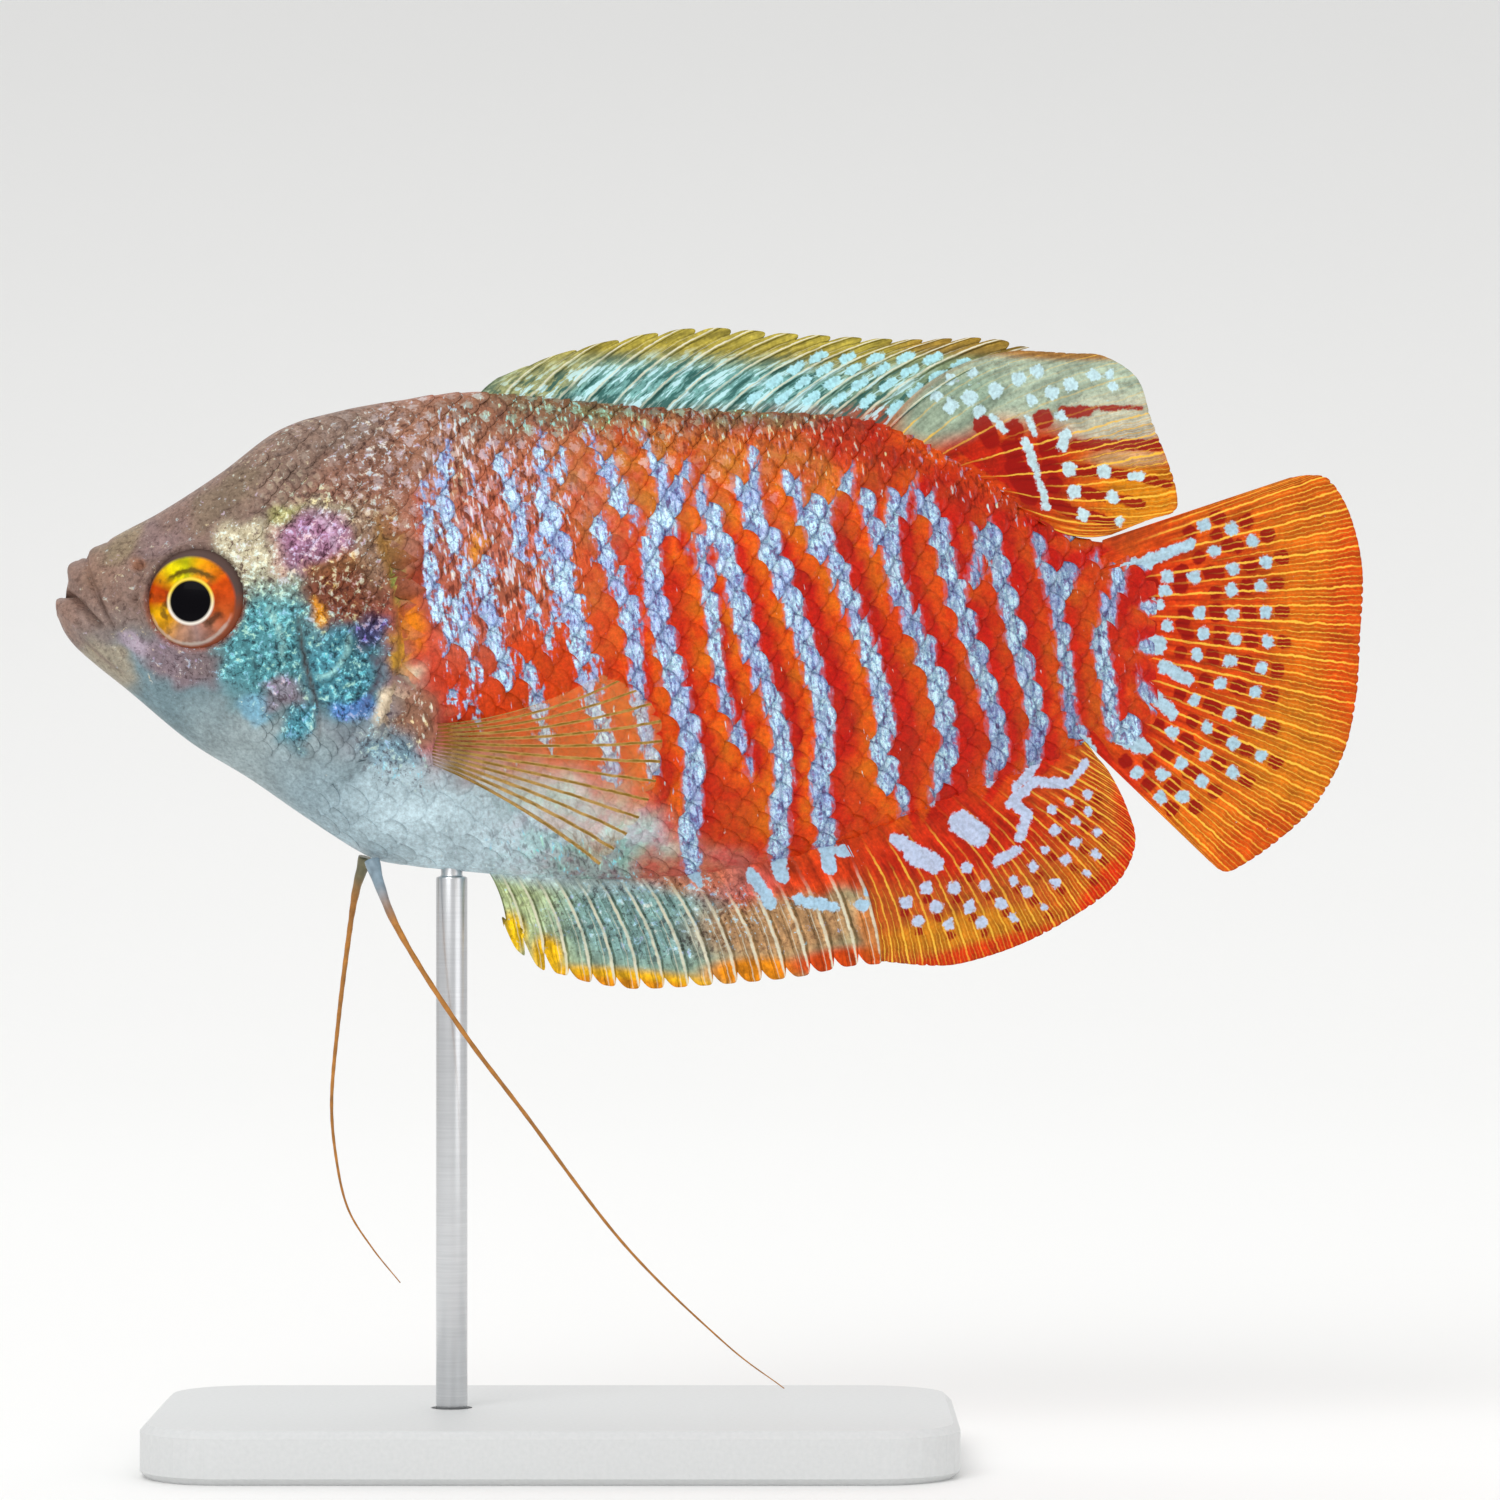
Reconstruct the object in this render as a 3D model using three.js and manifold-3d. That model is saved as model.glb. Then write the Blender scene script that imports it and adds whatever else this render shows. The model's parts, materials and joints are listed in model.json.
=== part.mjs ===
// A life-size dwarf gourami, still, swimming level over a plain display stand.
// Millimetres, +Z up, head toward -X. The origin is the centre of the base's underside.
import * as THREE from 'three';
import { mergeVertices } from 'three/addons/utils/BufferGeometryUtils.js';
import Module from 'manifold-3d';

const wasm = await Module();
wasm.setup();

// Driving sizes
const SNOUT_X = -28.6;            // tip of the lower lip
const BODY_END_X = 33.4;          // past the root of the tail fin, trimmed by its cut
const GAP = 0.3;                  // kept between neighbouring nodes
const EYE_RADIUS = 3.2;
const EYE_DEPTH = 1.9;            // half-depth of the flattened eyeball
const EYE_X = -20.6;
const EYE_Z = 49.25;
const EYE_SINK = 1.2;             // centre of the eyeball below the skin
const FIN_ROOT = 0.9;             // thickness where a fin leaves the body
const FIN_WEB = 0.5;              // membrane between rays
const FIN_EDGE = 0.34;            // free margin
const COVER_THICKNESS = 1.1;      // gill cover plate
const BASE_LENGTH = 46;
const BASE_WIDTH = 26;
const BASE_HEIGHT = 3;
const BASE_CORNER = 5;
const ROD_RADIUS = 0.9;
const ROD_X = -5.9;

// Rays of each fin, and how proud of the membrane they stand
const DORSAL_SPINES = 16;
const DORSAL_SOFT_RAYS = 9;
const ANAL_SPINES = 17;
const ANAL_SOFT_RAYS = 14;
const TAIL_RAYS = 14;
const PECTORAL_RAYS = 12;
const RAY_RELIEF = 0.16;

// Smooth curve through [x, value] knots, with slopes from the neighbouring knots
function through(knots) {
  const slope = knots.map((knot, i) => {
    const a = knots[Math.max(i - 1, 0)];
    const b = knots[Math.min(i + 1, knots.length - 1)];
    return (b[1] - a[1]) / (b[0] - a[0]);
  });
  return (x) => {
    let i = 0;
    while (i < knots.length - 2 && x > knots[i + 1][0]) i += 1;
    const [x0, y0] = knots[i];
    const [x1, y1] = knots[i + 1];
    const h = x1 - x0;
    const t = THREE.MathUtils.clamp((x - x0) / h, 0, 1);
    const rise = y0 * (1 + 2 * t) * (1 - t) ** 2 + y1 * t * t * (3 - 2 * t);
    return rise + h * t * (1 - t) * (slope[i] * (1 - t) - slope[i + 1] * t);
  };
}

// Body: back, belly, half-width and shape of the cross-section along its length
const backZ = through([
  [-28.6, 49.0], [-28.1, 49.6], [-27.7, 51.0], [-26.9, 51.8], [-25.2, 53.0], [-22.6, 54.4],
  [-19.2, 56.6], [-15.8, 59.1], [-12.3, 60.2], [-8.9, 60.8], [-4.6, 61.25], [5.4, 60.5],
  [16.9, 60.0], [20.4, 59.0], [25.5, 56.0], [27.8, 54.1], [30.1, 52.9], [33.4, 52.4],
]);
const bellyZ = through([
  [-28.6, 48.6], [-28.1, 47.4], [-27.2, 46.3], [-24.4, 44.0], [-20.9, 41.1], [-17.5, 39.0],
  [-14.0, 36.6], [-10.6, 34.5], [-8.9, 34.1], [-5.4, 33.7], [0.3, 33.25], [5.4, 33.3],
  [11.2, 34.0], [16.9, 35.5], [22.1, 37.6], [28.4, 39.9], [30.4, 41.1], [33.4, 40.9],
]);
const halfWidth = through([
  [-28.6, 0.45], [-27.9, 1.25], [-26.1, 2.35], [-23.2, 3.35], [-20.6, 4.05], [-17, 4.6],
  [-13, 5.05], [-9, 5.25], [-4, 5.15], [3, 4.7], [10, 4.0], [17, 3.2],
  [23, 2.35], [28.5, 1.5], [33.4, 0.95],
]);
const WIDEST = 0.47;              // height of the widest level, as a share of the depth
const BACK_TAPER = 1.25;          // narrower toward the back than an ellipse
const BELLY_TAPER = 1.08;

function widestZ(x) {
  return bellyZ(x) + WIDEST * (backZ(x) - bellyZ(x));
}

// Point of the body's surface at angle a from the back (0) round to the belly (pi)
function skinPoint(x, a) {
  const up = a < Math.PI / 2;
  const height = up ? backZ(x) - widestZ(x) : widestZ(x) - bellyZ(x);
  const bulge = Math.abs(Math.sin(a)) ** (up ? BACK_TAPER : BELLY_TAPER);
  return [halfWidth(x) * bulge, widestZ(x) + height * Math.cos(a)];
}

// Half-width of the body at a given x and height
function skinY(x, z) {
  const up = z > widestZ(x);
  const height = up ? backZ(x) - widestZ(x) : widestZ(x) - bellyZ(x);
  const cosine = THREE.MathUtils.clamp((z - widestZ(x)) / height, -1, 1);
  return halfWidth(x) * Math.sqrt(1 - cosine * cosine) ** (up ? BACK_TAPER : BELLY_TAPER);
}

// Outward direction of the skin on one side (-1 left, +1 right)
function skinNormal(x, z, side) {
  const step = 0.2;
  const alongX = (skinY(x + step, z) - skinY(x - step, z)) / (2 * step);
  const alongZ = (skinY(x, z + step) - skinY(x, z - step)) / (2 * step);
  return new THREE.Vector3(-alongX, side, -alongZ).normalize();
}

// Solids from closed meshes, with their faces turned outward, and back
function solidFrom(geometry) {
  const bare = new THREE.BufferGeometry();
  bare.setAttribute('position', geometry.getAttribute('position').clone());
  if (geometry.index) bare.setIndex(geometry.index.clone());
  const merged = mergeVertices(bare, 1e-4);
  const vertProperties = new Float32Array(merged.getAttribute('position').array);
  const triVerts = new Uint32Array(merged.index.array);
  const solid = new wasm.Manifold(new wasm.Mesh({ numProp: 3, vertProperties, triVerts }));
  if (solid.volume() > 0) return solid;
  for (let i = 0; i < triVerts.length; i += 3) triVerts.subarray(i, i + 3).reverse();
  return new wasm.Manifold(new wasm.Mesh({ numProp: 3, vertProperties, triVerts }));
}

function largest(solid) {
  return solid.decompose().sort((a, b) => b.volume() - a.volume())[0];
}

function geometryFrom(solid) {
  const mesh = largest(solid).getMesh();
  const geometry = new THREE.BufferGeometry();
  geometry.setAttribute('position', new THREE.Float32BufferAttribute(mesh.vertProperties, 3));
  geometry.setIndex(Array.from(mesh.triVerts));
  geometry.computeVertexNormals();
  return geometry;
}

// Closed tube of rings, each a list of points in the same turning sense, with flat ends
function closedRings(rings) {
  const count = rings[0].length;
  const positions = rings.flat().flatMap((p) => [p.x, p.y, p.z]);
  const index = [];
  for (let r = 0; r < rings.length - 1; r += 1) {
    for (let i = 0; i < count; i += 1) {
      const a = r * count + i;
      const b = r * count + (i + 1) % count;
      index.push(a, b, b + count, a, b + count, a + count);
    }
  }
  for (const [ring, first] of [[rings[0], true], [rings[rings.length - 1], false]]) {
    const centre = ring.reduce((sum, p) => sum.add(p), new THREE.Vector3()).divideScalar(count);
    const hub = positions.length / 3;
    positions.push(centre.x, centre.y, centre.z);
    const start = first ? 0 : (rings.length - 1) * count;
    for (let i = 0; i < count; i += 1) {
      const a = start + i;
      const b = start + (i + 1) % count;
      index.push(...(first ? [hub, b, a] : [hub, a, b]));
    }
  }
  const geometry = new THREE.BufferGeometry();
  geometry.setAttribute('position', new THREE.Float32BufferAttribute(positions, 3));
  geometry.setIndex(index);
  return geometry;
}

// Whole body, with its stations closest together round the mouth
const BODY_STATIONS = 42;
const BODY_SIDES = 26;
const BED_STATIONS = 18;
const BED_SIDES = 18;

function bodyLoft(stations, sides, shrink = 0) {
  const rings = [];
  for (let i = 0; i <= stations; i += 1) {
    const t = i / stations;
    const x = SNOUT_X + (BODY_END_X - SNOUT_X) * t ** 1.4;
    const ring = [];
    for (let k = 0; k < sides; k += 1) {
      const a = (2 * Math.PI * k) / sides;
      const [half, z] = skinPoint(x, a > Math.PI ? 2 * Math.PI - a : a);
      const side = a > Math.PI ? -1 : 1;
      ring.push(new THREE.Vector3(x, side * Math.max(half - shrink, 0.02), z));
    }
    rings.push(ring);
  }
  return closedRings(rings);
}

// Flat outline in x and z, pushed through the whole width of the body
function outlineSolid(points, halfDepth = 9, middle = 0) {
  const shape = new THREE.Shape(points.map(([x, z]) => new THREE.Vector2(x, z)));
  const geometry = new THREE.ExtrudeGeometry(shape, { depth: 2 * halfDepth, bevelEnabled: false });
  geometry.rotateX(Math.PI / 2);
  geometry.translate(0, middle + halfDepth, 0);
  return solidFrom(geometry);
}

// Thin wall that follows a line of knots, to part two nodes
function partingCut(knots, width = GAP, frontWidth = width) {
  const curve = new THREE.SplineCurve(knots.map(([x, z]) => new THREE.Vector2(x, z)));
  const line = curve.getPoints(knots.length * 3);
  const sides = [[], []];
  line.forEach((point, i) => {
    const before = line[Math.max(i - 1, 0)];
    const after = line[Math.min(i + 1, line.length - 1)];
    const across = after.clone().sub(before).normalize().rotateAround(new THREE.Vector2(), Math.PI / 2);
    const half = THREE.MathUtils.lerp(frontWidth, width, Math.min(i / 6, 1)) / 2;
    sides[0].push([point.x + across.x * half, point.y + across.y * half]);
    sides[1].unshift([point.x - across.x * half, point.y - across.y * half]);
  });
  return outlineSolid([...sides[0], ...sides[1]]);
}

// Round rod of changing radius along a curve, with its ring count set by steps
function taperedTube(curve, radiusAt, steps, sides, from = 0, to = 1) {
  const rings = [];
  let across = new THREE.Vector3(0, 1, 0);
  for (let i = 0; i <= steps; i += 1) {
    const t = from + (to - from) * (i / steps);
    const centre = curve.getPointAt(t);
    const along = curve.getTangentAt(t);
    const second = new THREE.Vector3().crossVectors(along, across).normalize();
    across = new THREE.Vector3().crossVectors(second, along).normalize();
    const ring = [];
    for (let k = 0; k < sides; k += 1) {
      const a = (2 * Math.PI * k) / sides;
      const offset = across.clone().multiplyScalar(Math.cos(a)).addScaledVector(second, -Math.sin(a));
      ring.push(centre.clone().addScaledVector(offset, -radiusAt(t)));
    }
    rings.push(ring);
  }
  return closedRings(rings);
}

// Lips: soft rolls along both sides of the mouth, from corner to corner
const LIP_LINES = {
  upper: { front: [-27.55, 51.0], middle: [-26.5, 49.7], corner: [-25.2, 47.9], radius: 0.5 },
  lower: { front: [-28.1, 48.9], middle: [-27.0, 48.0], corner: [-25.5, 47.0], radius: 0.46 },
};

function lipRoll({ front, middle, corner, radius }) {
  const onSkin = ([x, z], side) => new THREE.Vector3(x, side * (skinY(x, z) - 0.12), z);
  const curve = new THREE.CatmullRomCurve3([
    onSkin(corner, -1), onSkin(middle, -1), new THREE.Vector3(front[0], 0, front[1]),
    onSkin(middle, 1), onSkin(corner, 1),
  ]);
  return solidFrom(taperedTube(curve, (t) => radius * (0.5 + 0.5 * Math.sin(Math.PI * t)), 10, 6));
}

// Eye frame: its axis is the skin's outward direction at the middle of the orbit
function eyeFrame(side) {
  const axis = skinNormal(EYE_X, EYE_Z, side);
  const centre = new THREE.Vector3(EYE_X, side * skinY(EYE_X, EYE_Z), EYE_Z);
  const turn = new THREE.Quaternion().setFromUnitVectors(new THREE.Vector3(0, 1, 0), axis);
  return { axis, centre, turn };
}

function eyeballSolid(side, grow = 0) {
  const { axis, centre, turn } = eyeFrame(side);
  const geometry = new THREE.SphereGeometry(1, 16, 10);
  geometry.scale(EYE_RADIUS + grow, EYE_DEPTH + grow, EYE_RADIUS + grow);
  geometry.applyQuaternion(turn);
  const place = centre.clone().addScaledVector(axis, -EYE_SINK);
  geometry.translate(place.x, place.y, place.z);
  return solidFrom(geometry);
}

// Low rim of skin round the orbit
function orbitRim(side) {
  const { axis, centre, turn } = eyeFrame(side);
  const geometry = new THREE.TorusGeometry(EYE_RADIUS - 0.18, 0.34, 5, 18);
  geometry.rotateX(Math.PI / 2);
  geometry.applyQuaternion(turn);
  const place = centre.clone().addScaledVector(axis, -0.32);
  geometry.translate(place.x, place.y, place.z);
  return solidFrom(geometry);
}

// Nostrils: two small pits ahead of each eye
const NOSTRILS = [
  { x: -23.8, z: 51.3, radius: 0.34 },
  { x: -23.8, z: 49.3, radius: 0.26 },
];

function nostrilPit({ x, z, radius }, side) {
  const geometry = new THREE.SphereGeometry(radius, 7, 4);
  geometry.translate(x, side * skinY(x, z), z);
  return solidFrom(geometry);
}

// Fleshy stub that carries each pectoral fin, cut off square to the fin
const PECTORAL = { x: -6.15, z: 40.95, height: 2.7, spread: 0.45, stand: 0.75, cup: 0.9 };

function pectoralPlace(side) {
  const out = skinY(PECTORAL.x, PECTORAL.z) + PECTORAL.stand;
  const along = new THREE.Vector3(Math.cos(PECTORAL.spread), side * Math.sin(PECTORAL.spread), 0);
  return { root: new THREE.Vector3(PECTORAL.x, side * out, PECTORAL.z), along };
}

function pectoralStub(side) {
  const { root, along } = pectoralPlace(side);
  const geometry = new THREE.SphereGeometry(1, 12, 8);
  geometry.scale(3.2, 1.15, 2.5);
  geometry.rotateZ(side * PECTORAL.spread);
  const centre = root.clone().addScaledVector(along, -1.3);
  geometry.translate(centre.x, centre.y - side * 0.35, centre.z);
  const away = new THREE.BoxGeometry(8, 12, 12);
  away.rotateZ(side * PECTORAL.spread);
  const beyond = root.clone().addScaledVector(along, 4);
  away.translate(beyond.x, beyond.y, beyond.z);
  return solidFrom(geometry).subtract(solidFrom(away));
}

let body = solidFrom(bodyLoft(BODY_STATIONS, BODY_SIDES));
body = body.add(lipRoll(LIP_LINES.upper)).add(lipRoll(LIP_LINES.lower));
for (const side of [-1, 1]) {
  body = body.add(orbitRim(side)).add(pectoralStub(side)).subtract(eyeballSolid(side, GAP));
  for (const pit of NOSTRILS) body = body.subtract(nostrilPit(pit, side));
}

// Lines along which the body is parted into its nodes
const MOUTH_LINE = [[-29.6, 49.75], [-28.0, 49.6], [-27.0, 49.0], [-25.9, 47.75], [-24.8, 46.9]];
const JAW_LINE = [[-25.0, 47.25], [-24.1, 45.6], [-23.2, 43.6], [-22.5, 40.5]];
const LIP_GROOVE = [[-26.3, 53.6], [-26.3, 51.6], [-26.2, 50.1], [-25.8, 48.7], [-25.2, 47.15]];
const GILL_LINE = [
  [-10.1, 62.5], [-10.6, 59.1], [-10.5, 56.2], [-9.6, 52.8], [-8.8, 49.3], [-8.6, 46.4],
  [-9.0, 43.6], [-10.1, 41.0], [-11.3, 38.4], [-12.3, 33.4],
];
const TAIL_LINE = [[26.8, 58.0], [26.3, 52.0], [25.9, 44.0], [25.7, 36.0]];
const TAIL_ROOT = { top: [32.45, 52.3], bottom: [31.3, 41.2] };

// Everything behind the root of the tail fin is trimmed away
const [rootTopX, rootTopZ] = TAIL_ROOT.top;
const [rootLowX, rootLowZ] = TAIL_ROOT.bottom;
const rootLean = (rootTopX - rootLowX) / (rootTopZ - rootLowZ);
body = body.subtract(outlineSolid([
  [rootLowX - 5 * rootLean, rootLowZ - 5], [40, rootLowZ - 5],
  [40, rootTopZ + 5], [rootTopX + 5 * rootLean, rootTopZ + 5],
]));
body = body.subtract(partingCut(MOUTH_LINE, GAP, 0.6));
for (const line of [JAW_LINE, LIP_GROOVE, GILL_LINE, TAIL_LINE]) {
  body = body.subtract(partingCut(line));
}
const bodyParts = body.decompose().sort((a, b) => b.volume() - a.volume()).slice(0, 5);
const [torsoSolid, headSolid, tailBaseSolid] = bodyParts;
const snoutParts = bodyParts.slice(3);
const middleZ = (solid) => (solid.boundingBox().min[2] + solid.boundingBox().max[2]) / 2;
const [jawSolid, upperLipSolid] = snoutParts.sort((a, b) => middleZ(a) - middleZ(b));

// Gill covers: plates lifted off the sides of the head, from the cheek groove to the gill line
const COVER_FRONT = new THREE.SplineCurve([
  [-10.9, 54.9], [-13.3, 54.1], [-14.6, 51.2], [-14.3, 46.6], [-13.5, 42.4], [-12.1, 39.8],
  [-10.2, 39.0],
].map(([x, z]) => new THREE.Vector2(x, z)));
const COVER_OUTLINE = [
  ...COVER_FRONT.getPoints(14).map((p) => [p.x, p.y]), [-7.0, 38.8], [-7.0, 55.0],
];
const coverMiddle = [-10.6, 47];

function grownOutline(outline, grow) {
  return outline.map(([x, z]) => {
    const away = new THREE.Vector2(x - coverMiddle[0], z - coverMiddle[1]);
    away.setLength(away.length() + grow);
    return [coverMiddle[0] + away.x, coverMiddle[1] + away.y];
  });
}

const coverBed = solidFrom(bodyLoft(BED_STATIONS, BED_SIDES, COVER_THICKNESS));
const coverBedDeep = solidFrom(bodyLoft(BED_STATIONS, BED_SIDES, COVER_THICKNESS + GAP));
const coverPlate = headSolid.intersect(outlineSolid(COVER_OUTLINE)).subtract(coverBed);
const coverRecess = outlineSolid(grownOutline(COVER_OUTLINE, GAP)).subtract(coverBedDeep);
const headBare = headSolid.subtract(coverRecess);
const coverParts = coverPlate.decompose().sort((a, b) => b.volume() - a.volume()).slice(0, 2);
coverParts.sort((a, b) => a.boundingBox().min[1] - b.boundingBox().min[1]);

// Fin blade: a sheet with two faces of the same triangles, thicker along its rays.
// middle(u, v) runs from the first ray to the last and from the root to the margin.
const lerp = THREE.MathUtils.lerp;
const RAY_FOOT = 0.24;             // shares of the lane between two rays: foot of a plain ray
const FORK_FOOT = 0.34;            // foot of a ray that parts in two
const FORK_HALF = 0.17;            // crest of either half
const FORK_CREST = 0.55;           // height of a half before they part
const PARTS = [0.35, 0.6];         // shares of a ray's length: where it parts
const ROOT_RUN = 0.12;             // where the thick root has thinned to the web
const EDGE_RUN = [0.8, 1];         // where the web thins to the edge
const FADES = [0.6, 1];            // where a ray fades into the web
const FADE = 0.75;
const LOBE_SHOULDER = 0.55;        // height of a lobe beside its ray, where the ray's is 1
const LOBE_SIDE = 0.4;             // share of the lane beyond which a notch begins

function finBlade({ middle, rays, rows, normal, forks = false, lobe = 0, root = FIN_ROOT }) {
  const columns = [];
  const spacing = 1 / (rays - 1);
  const flank = forks ? FORK_FOOT : RAY_FOOT;
  for (let ray = 0; ray < rays; ray += 1) {
    const u = ray * spacing;
    const offsets = forks
      ? [-flank, -FORK_HALF, 0, FORK_HALF, flank] : [-flank, 0, flank, 0.5];
    for (const offset of offsets) {
      const place = u + offset * spacing;
      if (place >= -1e-6 && place <= 1 + 1e-6) columns.push({ u: place, offset });
    }
  }
  const crest = (offset, v) => {
    if (!forks) return offset === 0 ? 1 : 0;
    const parted = THREE.MathUtils.smoothstep(v, ...PARTS);
    if (offset === 0) return 1 - parted;
    return Math.abs(offset) < flank ? lerp(FORK_CREST, 1, parted) : 0;
  };
  const lobeAt = (offset) => {
    if (offset === 0) return 1;
    return Math.abs(offset) < LOBE_SIDE ? LOBE_SHOULDER : -1;
  };
  const faces = [[], []];
  for (const { u, offset } of columns) {
    for (let r = 0; r <= rows; r += 1) {
      const v = r / rows;
      const reach = v * (1 + lobe * lobeAt(offset) * v ** 4);
      const point = middle(u, reach);
      const web = lerp(FIN_WEB, FIN_EDGE, THREE.MathUtils.smoothstep(v, ...EDGE_RUN));
      const sheet = lerp(root, web, Math.min(v / ROOT_RUN, 1));
      const fade = 1 - FADE * THREE.MathUtils.smoothstep(v, ...FADES);
      const half = sheet / 2 + RAY_RELIEF * crest(offset, v) * fade;
      faces[0].push(point.clone().addScaledVector(normal, half));
      faces[1].push(point.clone().addScaledVector(normal, -half));
    }
  }
  const positions = faces.flat().flatMap((p) => [p.x, p.y, p.z]);
  const index = [];
  const across = rows + 1;
  const second = columns.length * across;
  const quad = (a, b, c, d) => index.push(a, b, c, a, c, d);
  for (let c = 0; c < columns.length - 1; c += 1) {
    for (let r = 0; r < rows; r += 1) {
      const a = c * across + r;
      quad(a, a + across, a + across + 1, a + 1);
      index.push(second + a, second + a + across + 1, second + a + across);
      index.push(second + a, second + a + 1, second + a + across + 1);
    }
    const rootEdge = c * across;
    const tipEdge = rootEdge + rows;
    quad(second + rootEdge, second + rootEdge + across, rootEdge + across, rootEdge);
    quad(tipEdge, tipEdge + across, second + tipEdge + across, second + tipEdge);
  }
  const last = (columns.length - 1) * across;
  for (let r = 0; r < rows; r += 1) {
    quad(r, r + 1, second + r + 1, second + r);
    quad(second + last + r, second + last + r + 1, last + r + 1, last + r);
  }
  const geometry = new THREE.BufferGeometry();
  geometry.setAttribute('position', new THREE.Float32BufferAttribute(positions, 3));
  geometry.setIndex(index);
  return solidFrom(geometry);
}

// Rays that leave the midline of the body and end on a margin drawn through [x, z] knots
function midlineFin({ rootX, rootZ, margin, bow = 0 }) {
  const edge = new THREE.SplineCurve(margin.map(([x, z]) => new THREE.Vector2(x, z)));
  return (u, v) => {
    const tip = edge.getPointAt(THREE.MathUtils.clamp(u, 0, 1));
    const x = rootX(u);
    const z = rootZ(u);
    const bend = bow * Math.sin(Math.PI * Math.min(v, 1));
    return new THREE.Vector3(x + (tip.x - x) * v, 0, z + (tip.y - z) * v + bend);
  };
}

const acrossBody = new THREE.Vector3(0, 1, 0);

const dorsalSpiny = finBlade({
  middle: midlineFin({
    rootX: (u) => lerp(-4.2, 19.6, u),
    rootZ: (u) => backZ(lerp(-4.2, 19.6, u)) + GAP,
    margin: [
      [-3.3, 62.0], [-0.3, 63.2], [3.6, 64.2], [8.3, 64.85], [13.5, 64.5], [19.8, 64.2],
      [24.6, 64.25], [27.1, 63.7],
    ],
    bow: -0.15,
  }),
  rays: DORSAL_SPINES, rows: 4, normal: acrossBody, lobe: 0.045,
});

const dorsalSoft = finBlade({
  middle: midlineFin({
    rootX: (u) => lerp(20.1, 28.0, u),
    rootZ: (u) => backZ(lerp(20.1, 28.0, u)) + GAP,
    margin: [
      [27.5, 63.4], [29.5, 63.45], [31.5, 63.3], [33.4, 62.0], [34.2, 59.6], [35.1, 57.4],
      [35.65, 55.6], [35.55, 54.4], [34.1, 53.9], [31.95, 53.05],
    ],
    bow: 0.12,
  }),
  rays: DORSAL_SOFT_RAYS, rows: 6, normal: acrossBody, lobe: 0.012,
});

const analSpiny = finBlade({
  middle: midlineFin({
    rootX: (u) => lerp(-3.9, 16.6, u ** 1.2),
    rootZ: (u) => bellyZ(lerp(-3.9, 16.6, u ** 1.2)) - GAP,
    margin: [
      [-2.7, 29.9], [-0.6, 28.4], [1.5, 27.6], [3.8, 27.2], [5.5, 27.15], [10.2, 27.45],
      [13.8, 27.8], [16.6, 28.4], [18.9, 28.6],
    ],
  }),
  rays: ANAL_SPINES, rows: 5, normal: acrossBody, lobe: 0.05,
});

const analSoft = finBlade({
  middle: midlineFin({
    rootX: (u) => lerp(17.15, 30.3, u),
    rootZ: (u) => bellyZ(lerp(17.15, 30.3, u)) - GAP,
    margin: [
      [19.6, 28.9], [21.5, 28.35], [23.5, 28.5], [26.6, 29.5], [29.6, 31.1], [32.2, 33.0],
      [33.3, 35.3], [32.8, 37.4], [31.8, 39.4], [31.0, 40.4],
    ],
    bow: -0.1,
  }),
  rays: ANAL_SOFT_RAYS, rows: 6, normal: acrossBody, lobe: 0.015,
});

const tailFin = finBlade({
  middle: midlineFin({
    rootX: (u) => lerp(rootTopX, rootLowX, u) + GAP,
    rootZ: (u) => lerp(rootTopZ, rootLowZ, u),
    margin: [
      [42.1, 56.3], [43.3, 56.45], [44.4, 56.15], [45.6, 54.2], [46.35, 51.0], [46.15, 47.0],
      [45.9, 43.6], [45.2, 40.4], [43.6, 37.5], [41.3, 35.4], [39.2, 34.0], [38.3, 33.75],
      [37.5, 34.35],
    ],
  }),
  rays: TAIL_RAYS, rows: 6, normal: acrossBody, forks: true, lobe: 0.008,
});

// Pectoral fins: fans that leave the stubs outward and rearward, and droop a little
function pectoralFin(side) {
  const { root, along } = pectoralPlace(side);
  const normal = new THREE.Vector3(-along.y, along.x, 0);
  const edge = new THREE.SplineCurve([
    [2.9, 44.9], [4.5, 44.2], [5.6, 43.3], [6.2, 42.2], [6.2, 40.6], [5.9, 39.0],
    [5.1, 37.2], [3.9, 35.6], [2.7, 34.3],
  ].map(([x, z]) => new THREE.Vector2(x, z)));
  const reach = (x) => (x - root.x) / along.x;
  const middle = (u, v) => {
    const tip = edge.getPointAt(THREE.MathUtils.clamp(u, 0, 1));
    const rootZ = root.z + PECTORAL.height * (0.5 - u);
    const point = root.clone().addScaledVector(along, lerp(GAP, reach(tip.x), v));
    point.z = lerp(rootZ, tip.y, v);
    return point.addScaledVector(normal, side * PECTORAL.cup * v * v);
  };
  return finBlade({
    middle, rays: PECTORAL_RAYS, rows: 5, normal, lobe: 0.014, root: 0.8,
  });
}

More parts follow.
